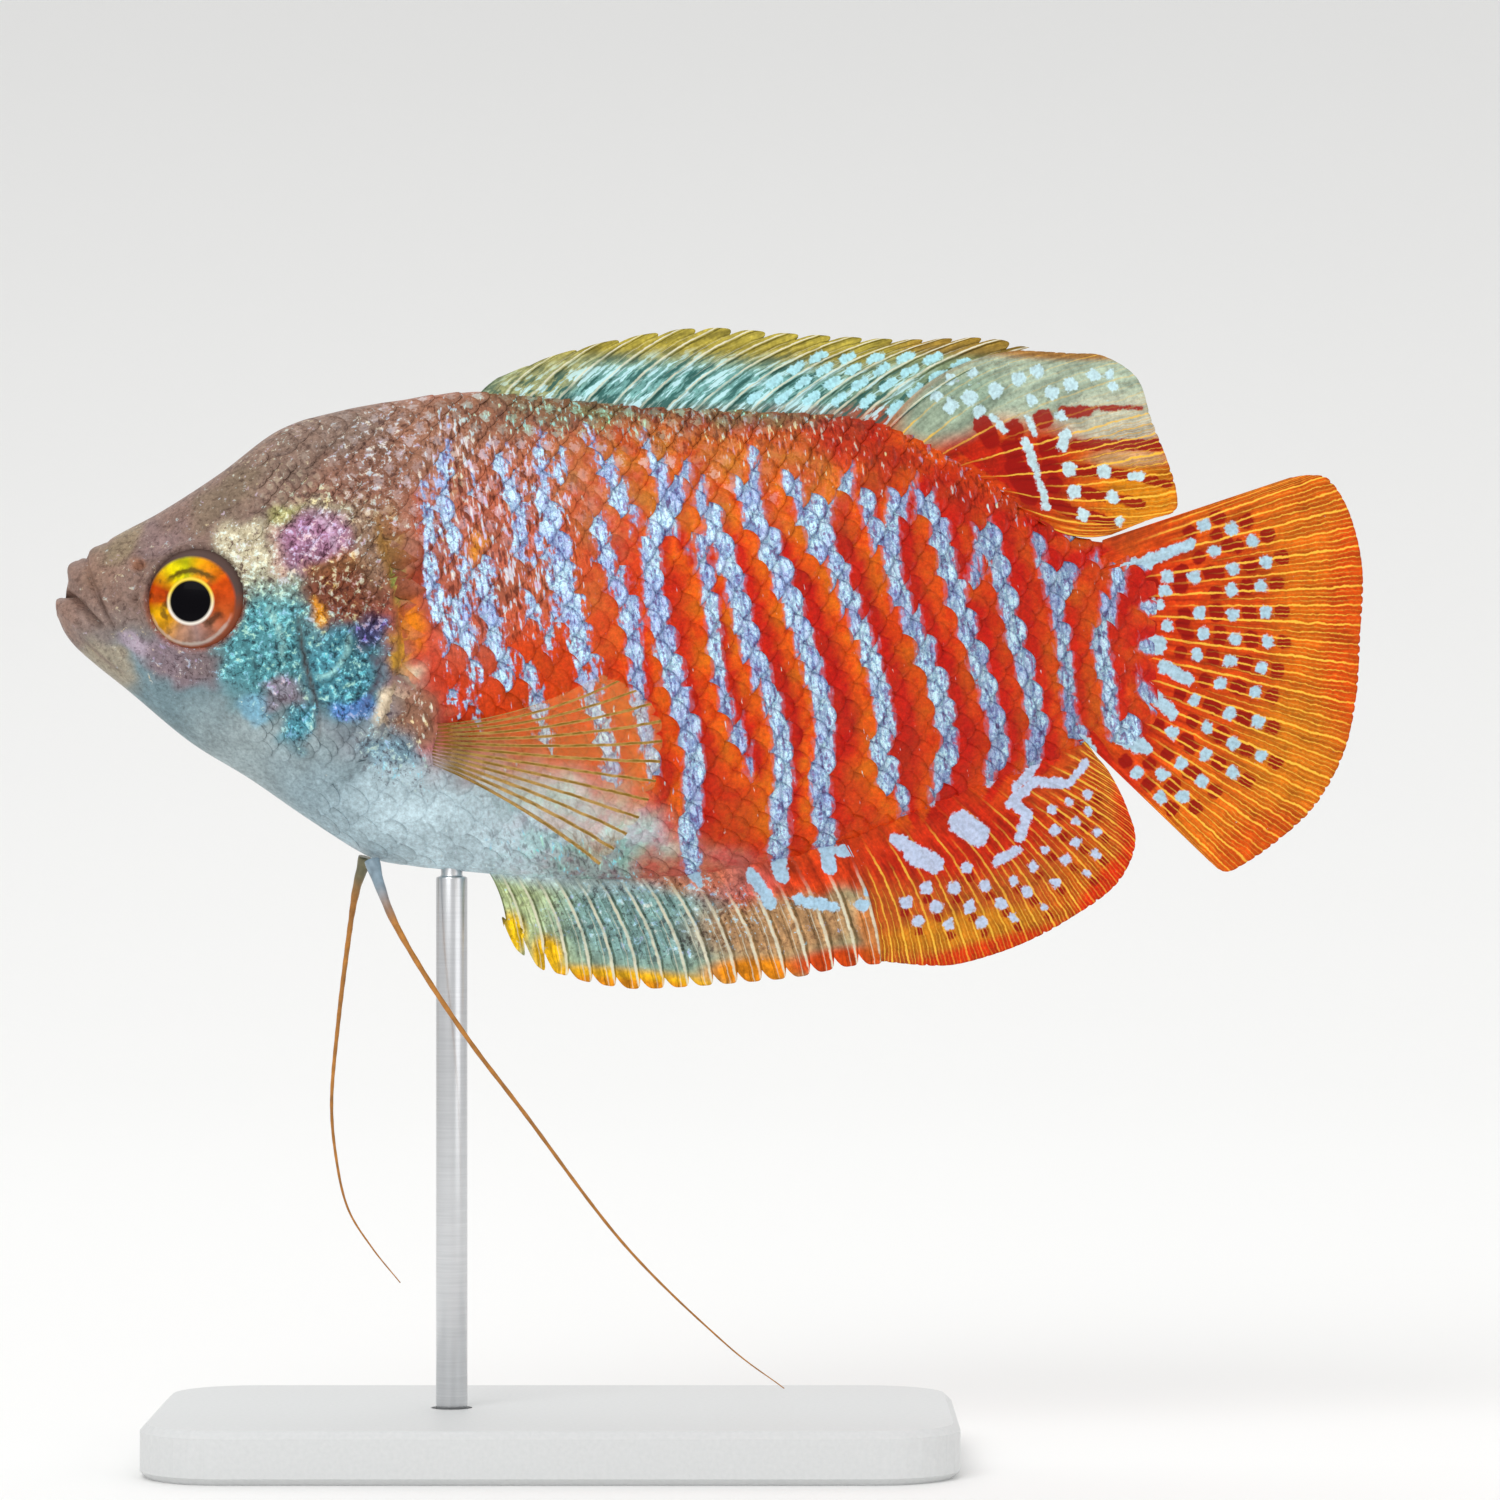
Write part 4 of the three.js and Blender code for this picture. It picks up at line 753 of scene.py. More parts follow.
# a pale pip in the middle of each scale of the nape, dusky round it
ahead = add("Math", toward_free, 0.45, operation="SUBTRACT")
from_pip = add("VectorMath", add("CombineXYZ", ahead, toward_side), (1.35, 0.85, 1),
               operation="MULTIPLY")
from_pip = add("VectorMath", from_pip, operation="LENGTH")
from_pip = add("Math", grain, -1.5, from_pip, operation="MULTIPLY_ADD")
pip_luck = add("Math", shade, 0.45, 0.6, operation="MULTIPLY_ADD")
pip_shown = add("Math", pip_luck, pip, operation="MULTIPLY")
dusky = add("VectorMath", ground, (0.62, 0.52, 0.50), operation="MULTIPLY")
for near, far, most, target in ((-0.20, 0.0, 0.5, dusky), (-0.38, -0.56, 0.85, glint)):
    chosen = add("MapRange", from_pip, near, far, 0, most)
    chosen = add("Math", chosen, pip_shown, operation="MULTIPLY")
    ground = add("Mix", chosen, ground, target, data_type="RGBA")

# the bars: pale cyan and blue-grey cells, lilac where they thin out
shift = add("Math", ragged, fleck, operation="ADD")
shift = add("Math", shift, 1.0, operation="SUBTRACT")
edge = add("Math", shift, wander, bar, operation="MULTIPLY_ADD")
in_bar = add("MapRange", edge, -0.03, 0.07, interpolation_type="SMOOTHSTEP")
by_bar = add("MapRange", edge, -0.16, -0.03, 0, 0.28, interpolation_type="SMOOTHSTEP")
ground = add("Mix", by_bar, ground, "#b28aa6", data_type="RGBA")
cells = add("Math", grain, fleck, operation="ADD")
pale = add("ValToRGB", add("MapRange", cells, 0.70, 1.30),
           stops=[((at - 0.70) / 0.60, hue) for at, hue in BANDS])
# painted shade on the root of each scale in the bars, where the scale ahead lies over it, and a
# painted highlight toward its free edge; toward the tail the bars also dim
root_shade_and_rear_fade = add("MapRange", toward_free, 0.0, 0.75, 0.80, 1.12)
rearward = add("MapRange", along_body, 8 * MM, 28 * MM, 1.0, 0.72)
by_tail = add("MapRange", along_body, 31 * MM, 33.5 * MM, 0, 0.3)
rearward = add("Math", rearward, by_tail, operation="ADD")
root_shade_and_rear_fade = add("Math", root_shade_and_rear_fade, rearward, operation="MULTIPLY")
pale = add("VectorMath", pale, root_shade_and_rear_fade, operation="SCALE")
lilac = add("MapRange", cloud, 0.44, 0.60, 0, 0.7)
pale = add("Mix", lilac, pale, "#cab9e2", data_type="RGBA", blend_type="MULTIPLY")
pale = add("VectorMath", pale, 1.12, operation="SCALE")
border = add("MapRange", edge, 0.20, 0.02, 0, 0.5)
pale = add("Mix", border, pale, "#8f86b2", data_type="RGBA")

# thin dark lines between the bars' leaf-shaped cells, and down the middle of each bar
leaning = add("Mapping", place, Rotation=(0, math.radians(-14), 0), Scale=LEAF,
              vector_type="TEXTURE")
bent = add("VectorMath", grain.node.outputs["Color"], 0.55, operation="SCALE")
bent = add("VectorMath", bent, leaning, operation="ADD")
leaf = add("TexVoronoi", bent, Scale=1.0, Randomness=0.75, feature="DISTANCE_TO_EDGE")
between = add("MapRange", leaf, 0.13, 0.02, 0, 0.62)
settled = add("MapRange", wander, 0.8, 0.5)
core = add("Math", shift, 0.35, middle, operation="MULTIPLY_ADD")
core = add("Math", core, operation="ABSOLUTE")
core = add("MapRange", core, 0.10, 0.03, 0, 0.7)
core = add("Math", core, settled, operation="MULTIPLY")
between = add("Math", between, core, operation="MAXIMUM")
gap = add("VectorMath", pale, (0.30, 0.33, 0.46), operation="MULTIPLY")
pale = add("Mix", between, pale, gap, data_type="RGBA")
colour = add("Mix", in_bar, ground, pale, data_type="RGBA")

# each scale's free edge: a thin dark line, drawn harder in the bars than in the red
across = add("Math", toward_side, 2.0, operation="POWER")
along = add("Math", toward_free, toward_free, across, operation="MULTIPLY_ADD")
out_from = add("Math", along, operation="SQRT")
rim = add("MapRange", out_from, 0.84, 0.98, interpolation_type="SMOOTHSTEP")
drawn = add("Math", in_bar, 0.5, drawn, operation="MULTIPLY_ADD")
rim = add("Math", rim, drawn, operation="MULTIPLY")
deep = add("VectorMath", colour, (0.22, 0.20, 0.36), operation="MULTIPLY")
put(add("Mix", rim, colour, deep, data_type="RGBA"), shader["Base Color"])
put(add("Bump", Height=cells, Strength=0.25, Distance=0.05 * MM), shader["Normal"])
dress(skin, scaled_skin)

# The scales: thin bony plates in quincunx, rooted in the skin toward the head, each over
# the roots of those behind it. Large on the flank, small on the cheek and the gill cover.
SCALE_STEP, SCALE_ROW = 1.72, 0.86  # from one scale to the next, and from row to row
SCALE_LEAN = 0.28                  # how far rows are shifted forward, for their height
SCALE_REACH = (1.28, 1.0)          # half-length and half-width
SCALE_PLATE = 0.05
SCALE_ROOT, SCALE_FREE = -0.13, 0.12    # height of the buried end and of the free end
SCALE_DOME = 0.045
CHEEK_SIZE = 0.62
SCALE_MARGIN = 0.35                # left bare along the back and the belly
GILL_FRONT = [(-17.2, 58.5), (-14.5, 57.0), (-11.6, 56.2)]
GILL_UNDER = [(-17.0, 37.6), (-19.0, 38.6)]
PATCH = 0.003                      # of the bake map, for each scale
LEVELS = 22.0                      # the table of levels reaches this far up and down
X_STEPS, A_STEPS, L_STEPS = 239, 360, 440    # of the tables: along, round, and of levels

table_x = np.linspace(SNOUT, SKIN_END, X_STEPS + 1)
table_a = np.linspace(0.0, math.pi, A_STEPS + 1)
grid_x, grid_a = np.meshgrid(table_x, table_a, indexing="ij")
rim_points = body_point(grid_x, grid_a, np.ones(grid_x.shape))
hops = np.linalg.norm(np.diff(rim_points, axis=1), axis=-1)
reach = np.concatenate([np.zeros((len(table_x), 1)), np.cumsum(hops, axis=1)], 1)
reach = reach[:, [A_STEPS // 2]] - reach   # up is positive, from the widest level
table_l = np.linspace(-LEVELS, LEVELS, L_STEPS + 1)
angle_at = np.array([np.interp(table_l, row[::-1], table_a[::-1]) for row in reach])


def angle_for(x, level):
    """Angle round the body at arc length `level` above its widest line."""
    fx = np.clip((x - SNOUT) / (SKIN_END - SNOUT) * X_STEPS, 0, X_STEPS - 0.001)
    fl = np.clip((level + LEVELS) / (2 * LEVELS) * L_STEPS, 0, L_STEPS - 0.001)
    i, j = fx.astype(int), fl.astype(int)
    s, t = fx - i, fl - j
    low = angle_at[i, j] * (1 - t) + angle_at[i, j + 1] * t
    high = angle_at[i + 1, j] * (1 - t) + angle_at[i + 1, j + 1] * t
    return low * (1 - s) + high * s


def scale_roots(size, last_x):
    """Places (x, level) of a quincunx of scales, closer together toward the tail, and the
    points of the body under them."""
    step_x, row = SCALE_STEP * size, SCALE_ROW * size
    places = np.array([
        (-22.0 + step_x * along - 0.0035 * step_x * along ** 2 - SCALE_LEAN * j * row, j * row)
        for j in range(-26, 27) for along in np.arange(60) + 0.5 * (j % 2)])
    x, level = places.T
    places = places[(x > -17.5) & (x < last_x)
                    & (level < np.interp(x, table_x, reach[:, 0]) - SCALE_MARGIN)
                    & (level > np.interp(x, table_x, reach[:, -1]) + SCALE_MARGIN)]
    return places, body_point(places[:, 0], angle_for(*places.T), np.ones(len(places)))


def behind_gill(x, z):
    """How far a point lies behind the edge of the gill cover, negative ahead of it."""
    distance, side, _ = line_offset(x, z, GILL_FRONT + GILL_EDGE + GILL_UNDER)
    return side * distance


flank_places, centre = scale_roots(1.0, 33.2)
flank_places = flank_places[behind_gill(centre[:, 0] + 0.3, centre[:, 2]) > 0]
cheek_places, centre = scale_roots(CHEEK_SIZE, 0.0)
cx, cz = centre[:, 0], centre[:, 2]
to_groove = line_offset(cx + 0.2, cz, CHEEK_GROOVE)[0]
cheek_places = cheek_places[
    (behind_gill(cx + 0.75, cz) < 0) & (np.hypot(cx - EYE[0], cz - EYE[1]) > 4.6)
    & (cz > 40.5) & (cz < 57.5) & (cx > -17.3) & (to_groove > 0.5)]

# one plate: a square of points rounded to a disc, s toward its free end and w across it
ACROSS = 7
CELLS = ACROSS * ACROSS
sq_s, sq_w = [g.ravel() for g in np.meshgrid(*[np.linspace(-1, 1, ACROSS)] * 2, indexing="ij")]
disc_s = sq_s * np.sqrt(1 - sq_w ** 2 / 2)
disc_w = sq_w * np.sqrt(1 - sq_s ** 2 / 2)
cell = np.arange(CELLS).reshape(ACROSS, ACROSS)
rim_loop = np.concatenate([cell[0, :-1], cell[:-1, -1], cell[-1, :0:-1], cell[:0:-1, 0]])
top_faces = np.stack([cell[:-1, :-1], cell[1:, :-1], cell[1:, 1:], cell[:-1, 1:]], -1)


def scale_coat(name, places, sizes, rims_drawn, lifts, side, seed):
    """All the scales of one flank in one mesh, each a closed, slightly domed plate."""
    count, loop = len(places), len(rim_loop)
    luck = np.random.default_rng(seed)
    size = sizes[:, None]
    x = (places[:, :1] + disc_s * SCALE_REACH[0] * size).ravel()
    level = (places[:, 1:] + disc_w * SCALE_REACH[1] * size).ravel()
    lift = (SCALE_ROOT + (SCALE_FREE - SCALE_ROOT) * (disc_s + 1) / 2
            + SCALE_DOME * (1 - disc_w ** 2)) * (0.35 + 0.65 * size) * lifts[:, None]
    lift = (lift + luck.uniform(-0.012, 0.012, (count, 1))).ravel()
    turn = angle_for(x, level)
    points = body_point(x, turn, np.full(x.size, side))
    normal = body_normal(x, np.clip(turn, 0.02, math.pi - 0.02), np.full(x.size, side))
    base = relief(x, points[:, 2]) - SKIN_DEPTH
    top = points + normal * (base + lift)[:, None]
    under = points + normal * (base + lift - SCALE_PLATE)[:, None]
    under = under.reshape(count, -1, 3)[:, rim_loop].reshape(-1, 3)

    first = (np.arange(count) * CELLS)[:, None]
    below = count * CELLS + np.arange(count)[:, None] * loop
    following = np.roll(np.arange(loop), -1)
    rims = np.stack([rim_loop + first, below + np.arange(loop), below + following,
                     rim_loop[following] + first], -1)
    face_groups = [(top_faces.reshape(-1, 4) + first[..., None]).reshape(-1, 4),
                   rims.reshape(-1, 4), below + np.arange(loop)[::-1]]
    if side > 0:
        face_groups = [group[:, ::-1] for group in face_groups]

    # a scale takes its markings partly whole, from one point, and mostly point by point
    mark_x = places[:, 0] + 0.45 * SCALE_REACH[0] * sizes
    mark = body_point(mark_x, angle_for(mark_x, places[:, 1]), np.full(count, side))
    pair_level = 2 * SCALE_ROW * np.floor(places[:, 1] / (2 * SCALE_ROW) + 0.26)
    pair = body_point(top[:, 0], angle_for(top[:, 0], np.repeat(pair_level, CELLS)),
                      np.full(len(top), side))
    pair_z = np.where(np.repeat(sizes, CELLS) > 0.7, 0.85 * pair[:, 2] + 0.15 * top[:, 2],
                      top[:, 2])
    whole = markings(mark[:, 0], mark[:, 2])
    each = markings(top[:, 0], top[:, 2], pair_z)

    def on_all(kind, share):
        found = {}
        for key in each[kind]:
            mixed = np.repeat(whole[kind][key], CELLS, axis=0) * share
            mixed = mixed + each[kind][key] * (1 - share)
            lower = mixed.reshape(count, CELLS, -1)[:, rim_loop]
            found[key] = np.concatenate([mixed, lower.reshape((-1,) + mixed.shape[1:])])
        return found

    values = on_all(0, 0.2)
    for key, local in (("toward_free", np.maximum(disc_s, -0.2)), ("toward_side", disc_w)):
        values[key] = np.concatenate([np.tile(local, count), np.tile(local[rim_loop], count)])
    for key, own in (("shade", luck.uniform(-1, 1, count)), ("plate", rims_drawn)):
        values[key] = np.concatenate([np.repeat(own, CELLS), np.repeat(own, loop)])
    root_turn = angle_for(places[:, 0], places[:, 1])
    root_turn = np.where(side > 0, root_turn, 2 * math.pi - root_turn)
    uv = (bake_place(places[:, 0], root_turn)[:, None]
          + (np.stack([disc_s, disc_w], -1) * PATCH / 2)[None])
    uv = np.concatenate([uv.reshape(-1, 2), uv[:, rim_loop].reshape(-1, 2)])
    piece = plain_mesh(name, np.concatenate([top, under]), face_groups, uv, values,
                       on_all(1, 0.12))
    dress(piece, scaled_skin)
    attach(piece, "root")


places = np.concatenate([flank_places, cheek_places])
on_cheek = slice(len(flank_places), None)
sizes = 1 - 0.2 * step(places[:, 0], 12, 33)
sizes[on_cheek] = CHEEK_SIZE
middle_z = body_point(places[:, 0], angle_for(*places.T), np.ones(len(places)))[:, 2]
chest = 1 - step(middle_z - 0.16 * places[:, 0], 38.5, 42.5)
chest = chest * (1 - step(places[:, 0], 0.0, 6.0))
nape = step(middle_z, 51.0, 55.0) * (1 - step(places[:, 0], -11.0, -5.0))
lifts = (1 - 0.75 * chest) * (0.62 + 0.16 * step(places[:, 0], -2.0, 7.0)) * (1 - 0.5 * nape)
lifts[on_cheek] = 0.8
rims_drawn = 0.05 - 0.04 * chest
rims_drawn[on_cheek] = 0.03
scale_coat("scales_left", places, sizes, rims_drawn, lifts, -1.0, 11)
scale_coat("scales_right", places, sizes, rims_drawn, lifts, 1.0, 23)

# The eyes: glass domes as a modelmaker sets them, painted on the back and let into the
# orbits so that the lid closes round them.
EYE_SINK, EYE_RADIUS, EYE_DEPTH = 1.2, 3.2, 1.9
IRIS_RADIUS, PUPIL_RADIUS = 2.54, 1.19
IRIS_MIDDLE = (-20.47, 49.12)
IRIS_ROUND = [                     # colours round the iris, from the front and over the top
    (0.0, "#c8500e"), (0.04, "#f2b408"), (0.12, "#e6a01c"), (0.19, "#c28e6c"),
    (0.28, "#a4837a"), (0.37, "#b06c50"), (0.45, "#c55a26"), (0.52, "#cc4c18"),
    (0.59, "#dd5210"), (0.65, "#f28a12"), (0.71, "#f4a40c"), (0.77, "#c8c410"),
    (0.84, "#f4e008"), (0.89, "#e0a00c"), (0.94, "#bf420a"), (1.0, "#c8500e")]
ARCS = [                           # colour, strength, radius, half-width, heights it fades in
    ("#54400e", 0.9, 1.74, 0.26, 0.9, 1.4), ("#c4bab0", 0.6, 2.42, 0.15, -0.6, -1.4)]

# Painted glass: a threaded iris, fiery below and golden above, round a deep black pupil.
glass_eye, add, shader = new_material(
    "painted_glass_eye", Roughness=0.3, Specular_IOR_Level=0.03, Coat_Weight=0.03,
    Coat_Roughness=0.03)
place = add("TexCoord", out="Object")
offset = add("VectorMath", place, (IRIS_MIDDLE[0] * MM, 0, IRIS_MIDDLE[1] * MM),
             operation="SUBTRACT")
flat_part = add("VectorMath", offset, (1 / MM, 0, 1 / MM), operation="MULTIPLY")
up = add("SeparateXYZ", flat_part, out="Z")
radius = add("VectorMath", flat_part, operation="LENGTH")
bearing = add("Math", up, up.node.outputs["X"], operation="ARCTAN2")
turn = add("Math", bearing, 1 / (2 * math.pi), 0.5, operation="MULTIPLY_ADD")
threads = add("Mapping", add("CombineXYZ", turn, radius), Scale=(22, 1.6, 1))
streak = add("TexNoise", threads, Scale=1.0, Detail=3.0)
streak = add("MapRange", streak, 0.3, 0.7, 0.6, 1.15)
smudge = add("TexNoise", place, Scale=1 / (0.9 * MM), Detail=3.0)
smudge = add("MapRange", smudge, 0.56, 0.68, 0, 0.7)
wavy = add("TexNoise", place, Scale=1 / (0.35 * MM), Detail=2.0)
colour = add("VectorMath", add("ValToRGB", turn, stops=IRIS_ROUND), streak, operation="SCALE")
colour = add("Mix", smudge, colour, "#2e2418", data_type="RGBA")
for hex_colour, most, arc_radius, wide, begin, full in ARCS:
    from_arc = add("Math", radius, arc_radius, operation="SUBTRACT")
    from_arc = add("Math", from_arc, operation="ABSOLUTE")
    from_arc = add("Math", wavy, 1.4 * wide, from_arc, operation="MULTIPLY_ADD")
    from_arc = add("Math", from_arc, 0.7 * wide, operation="SUBTRACT")
    arc = add("MapRange", from_arc, wide, 0.3 * wide, 0, most)
    arc = add("Math", arc, add("MapRange", up, begin, full), operation="MULTIPLY")
    colour = add("Mix", arc, colour, hex_colour, data_type="RGBA")
above = add("MapRange", up, -0.6, 0.6)
halo = add("Mix", above, "#eee6da", "#f3d44a", data_type="RGBA")
lid = add("Mix", above, LID_LOW, LID_HIGH, data_type="RGBA")
for begin, full, target in ((PUPIL_RADIUS + 0.22, PUPIL_RADIUS + 0.10, halo),
                            (IRIS_RADIUS - 0.1, IRIS_RADIUS + 0.08, lid),
                            (PUPIL_RADIUS + 0.06, PUPIL_RADIUS - 0.06, "#07060a")):
    shown = add("MapRange", radius, begin, full)
    colour = add("Mix", shown, colour, target, data_type="RGBA")
put(colour, shader["Base Color"])

rise = (EYE[1] - widest_z(EYE[0])) / (back_z(EYE[0]) - widest_z(EYE[0]))
eye_angle = np.array([math.acos(rise)])
for side, label in ((-1.0, "left"), (1.0, "right")):
    facing = body_normal(EYE[:1], eye_angle, np.array([side]))[0]
    middle = body_point(EYE[:1], eye_angle, np.array([side]))[0] - EYE_SINK * facing
    across_axis = np.cross([0, 0, 1], facing)
    across_axis = across_axis / np.linalg.norm(across_axis)
    up_axis = np.cross(facing, across_axis)
    bpy.ops.mesh.primitive_uv_sphere_add(segments=72, ring_count=48, radius=1.0)
    ball = bpy.context.object
    ball.name = "eyeball_" + label
    local = np.empty(len(ball.data.vertices) * 3)
    ball.data.vertices.foreach_get("co", local)
    local = local.reshape(-1, 3)
    placed = (middle + local[:, :1] * EYE_RADIUS * across_axis
              + local[:, 1:2] * EYE_RADIUS * up_axis + local[:, 2:] * EYE_DEPTH * facing)
    ball.data.vertices.foreach_set("co", (placed * MM).ravel())
    bpy.ops.object.shade_smooth()
    face_outward(ball)
    dress(ball, glass_eye)
    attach(ball, "root")
    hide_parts("eye_" + label)

# The fins: two skins of membrane over bony rays. Hard spines in front, soft rays that
# part in two and again behind. The flank's red and blue run out on to their roots.
FIN_SHEET = 0.16                   # membrane, far from a ray
FIN_RAY = 0.13                     # how far a ray stands up on each side, at its root
FIN_SINK = 0.5                     # how deep the roots sit in the body
RAY_HALF, BRANCH_HALF = 0.14, 0.10 # half-width of a ray, and of its branches
SIDEWAYS = np.array([0.0, -1.0, 0.0])


def spaced(knots, share):
    """Points at shares of the length of a smooth curve through the knots."""
    knots = np.array(knots, float)
    padded = np.concatenate([2 * knots[:1] - knots[1:2], knots, 2 * knots[-1:] - knots[-2:-1]])
    t = np.linspace(0, 1, 40, endpoint=False)[:, None]
    curve = []
    for i in range(1, len(padded) - 2):
        p, q, r, s = padded[i - 1:i + 3]
        curve.append(0.5 * (2 * q + (r - p) * t + (2 * p - 5 * q + 4 * r - s) * t ** 2
                            + (3 * q - p - 3 * r + s) * t ** 3))
    curve = np.concatenate(curve + [knots[-1:]])
    hop = np.linalg.norm(np.diff(curve, axis=0), axis=1)
    run = np.concatenate([[0], np.cumsum(hop)]) / hop.sum()
    return np.stack([np.interp(share, run, curve[:, k]) for k in range(curve.shape[1])], -1)


class FinShape:
    """A fin's middle sheet: rays from a root line to a margin, with lobes between notches."""

    def __init__(self, root, margin, rays, fine, rows, lobe=0.0, forks=False, bow=(0.0, 0.0),
                 lean=1.0, sink=FIN_SINK, lobes=1, notched=0.5):
        across = np.linspace(0, 1, (rays - 1) * fine + 1)
        self.u, self.v = np.meshgrid(across, np.linspace(0, 1, rows), indexing="ij")
        self.lane = self.u * (rays - 1)
        off = np.abs(self.lane - np.round(self.lane))
        depth = lobe(self.u) if callable(lobe) else lobe
        lap = lobes * (self.lane + 0.5 - notched)
        notch = np.abs(lap - np.round(lap))
        uneven = 0.55 + 0.45 * np.sin(2.4 * np.round(lap) ** 1.3)
        depth = depth * (uneven if lobes > 1 else 1.0)
        reach = self.v * (1 + depth * (0.2 - (2 * notch) ** 4) * step(self.v, 0.72, 1.0))
        base = root(across)
        tip = spaced(margin, across ** lean)
        way = tip - base
        length = np.linalg.norm(way, axis=1, keepdims=True)
        start = base - way / length * sink
        self.middle = start[:, None] + (tip - start)[:, None] * reach[..., None]
        side_way = np.stack([way[:, 1], -way[:, 0]], 1) / length
        bend = (bow[0] + (bow[1] - bow[0]) * across)[:, None] * length * self.v * (1 - self.v)
        self.middle = self.middle + side_way[:, None] * bend[..., None]
        self.gap = np.linalg.norm(np.gradient(self.middle, axis=0), axis=-1) * fine
        part = step(self.v, 0.30, 0.6) if forks else 0.0
        half_off = np.abs(2 * self.lane - np.round(2 * self.lane)) / 2
        self.crest = (np.exp(-(off * self.gap / RAY_HALF) ** 2) * (1 - 0.4 * part)
                      + 0.6 * part * np.exp(-(half_off * self.gap / BRANCH_HALF) ** 2))
        self.crest = np.minimum(self.crest, 1.0)


def fin_mesh(name, shape, middle, normal, ripple, root_half, values, colours, paint,
             stands_for):
    """Both skins of a fin round its middle sheet, joined at the margin and at the root."""
    u, v = shape.u, shape.v
    columns, rows = v.shape
    half = FIN_SHEET / 2 * (1 - 0.6 * step(v, 0.85, 1))
    half = half + FIN_RAY * shape.crest * (1 - 0.85 * step(v, 0.5, 1.0))
    half = half + (root_half - FIN_SHEET / 2) * (1 - step(v, 0.0, 0.22))
    wave = ripple * np.sin(2 * math.pi * u * 2.3 + 0.8) * v ** 1.5
    spread = np.broadcast_to(normal, middle.shape)
    skins = [middle + spread * (wave + out)[..., None] for out in (half, -half)]
    count = columns * rows
    left_faces = grid_faces(columns, rows)
    index = np.arange(count).reshape(columns, rows)
    border = np.concatenate([index[:, 0], index[-1, 1:], index[-2::-1, -1], index[0, -2:0:-1]])
    following = np.roll(border, -1)
    wall = np.stack([border, following, following + count, border + count], -1)
    uv = np.stack([0.02 + 0.46 * u.ravel(), 0.02 + 0.96 * v.ravel()], -1)
    values = dict(values, lane=shape.lane, gap=shape.gap, reach=v)
    piece = plain_mesh(
        name, np.concatenate([each.reshape(-1, 3) for each in skins]),
        [left_faces, left_faces[:, ::-1] + count, wall], np.concatenate([uv, uv + [0.5, 0]]),
        {key: np.tile(np.ravel(value), 2) for key, value in values.items()},
        {key: np.tile(value, (2, 1)) for key, value in colours.items()})
    face_outward(piece)
    dress(piece, paint)
    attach(piece, "root")
    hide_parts(*stands_for)


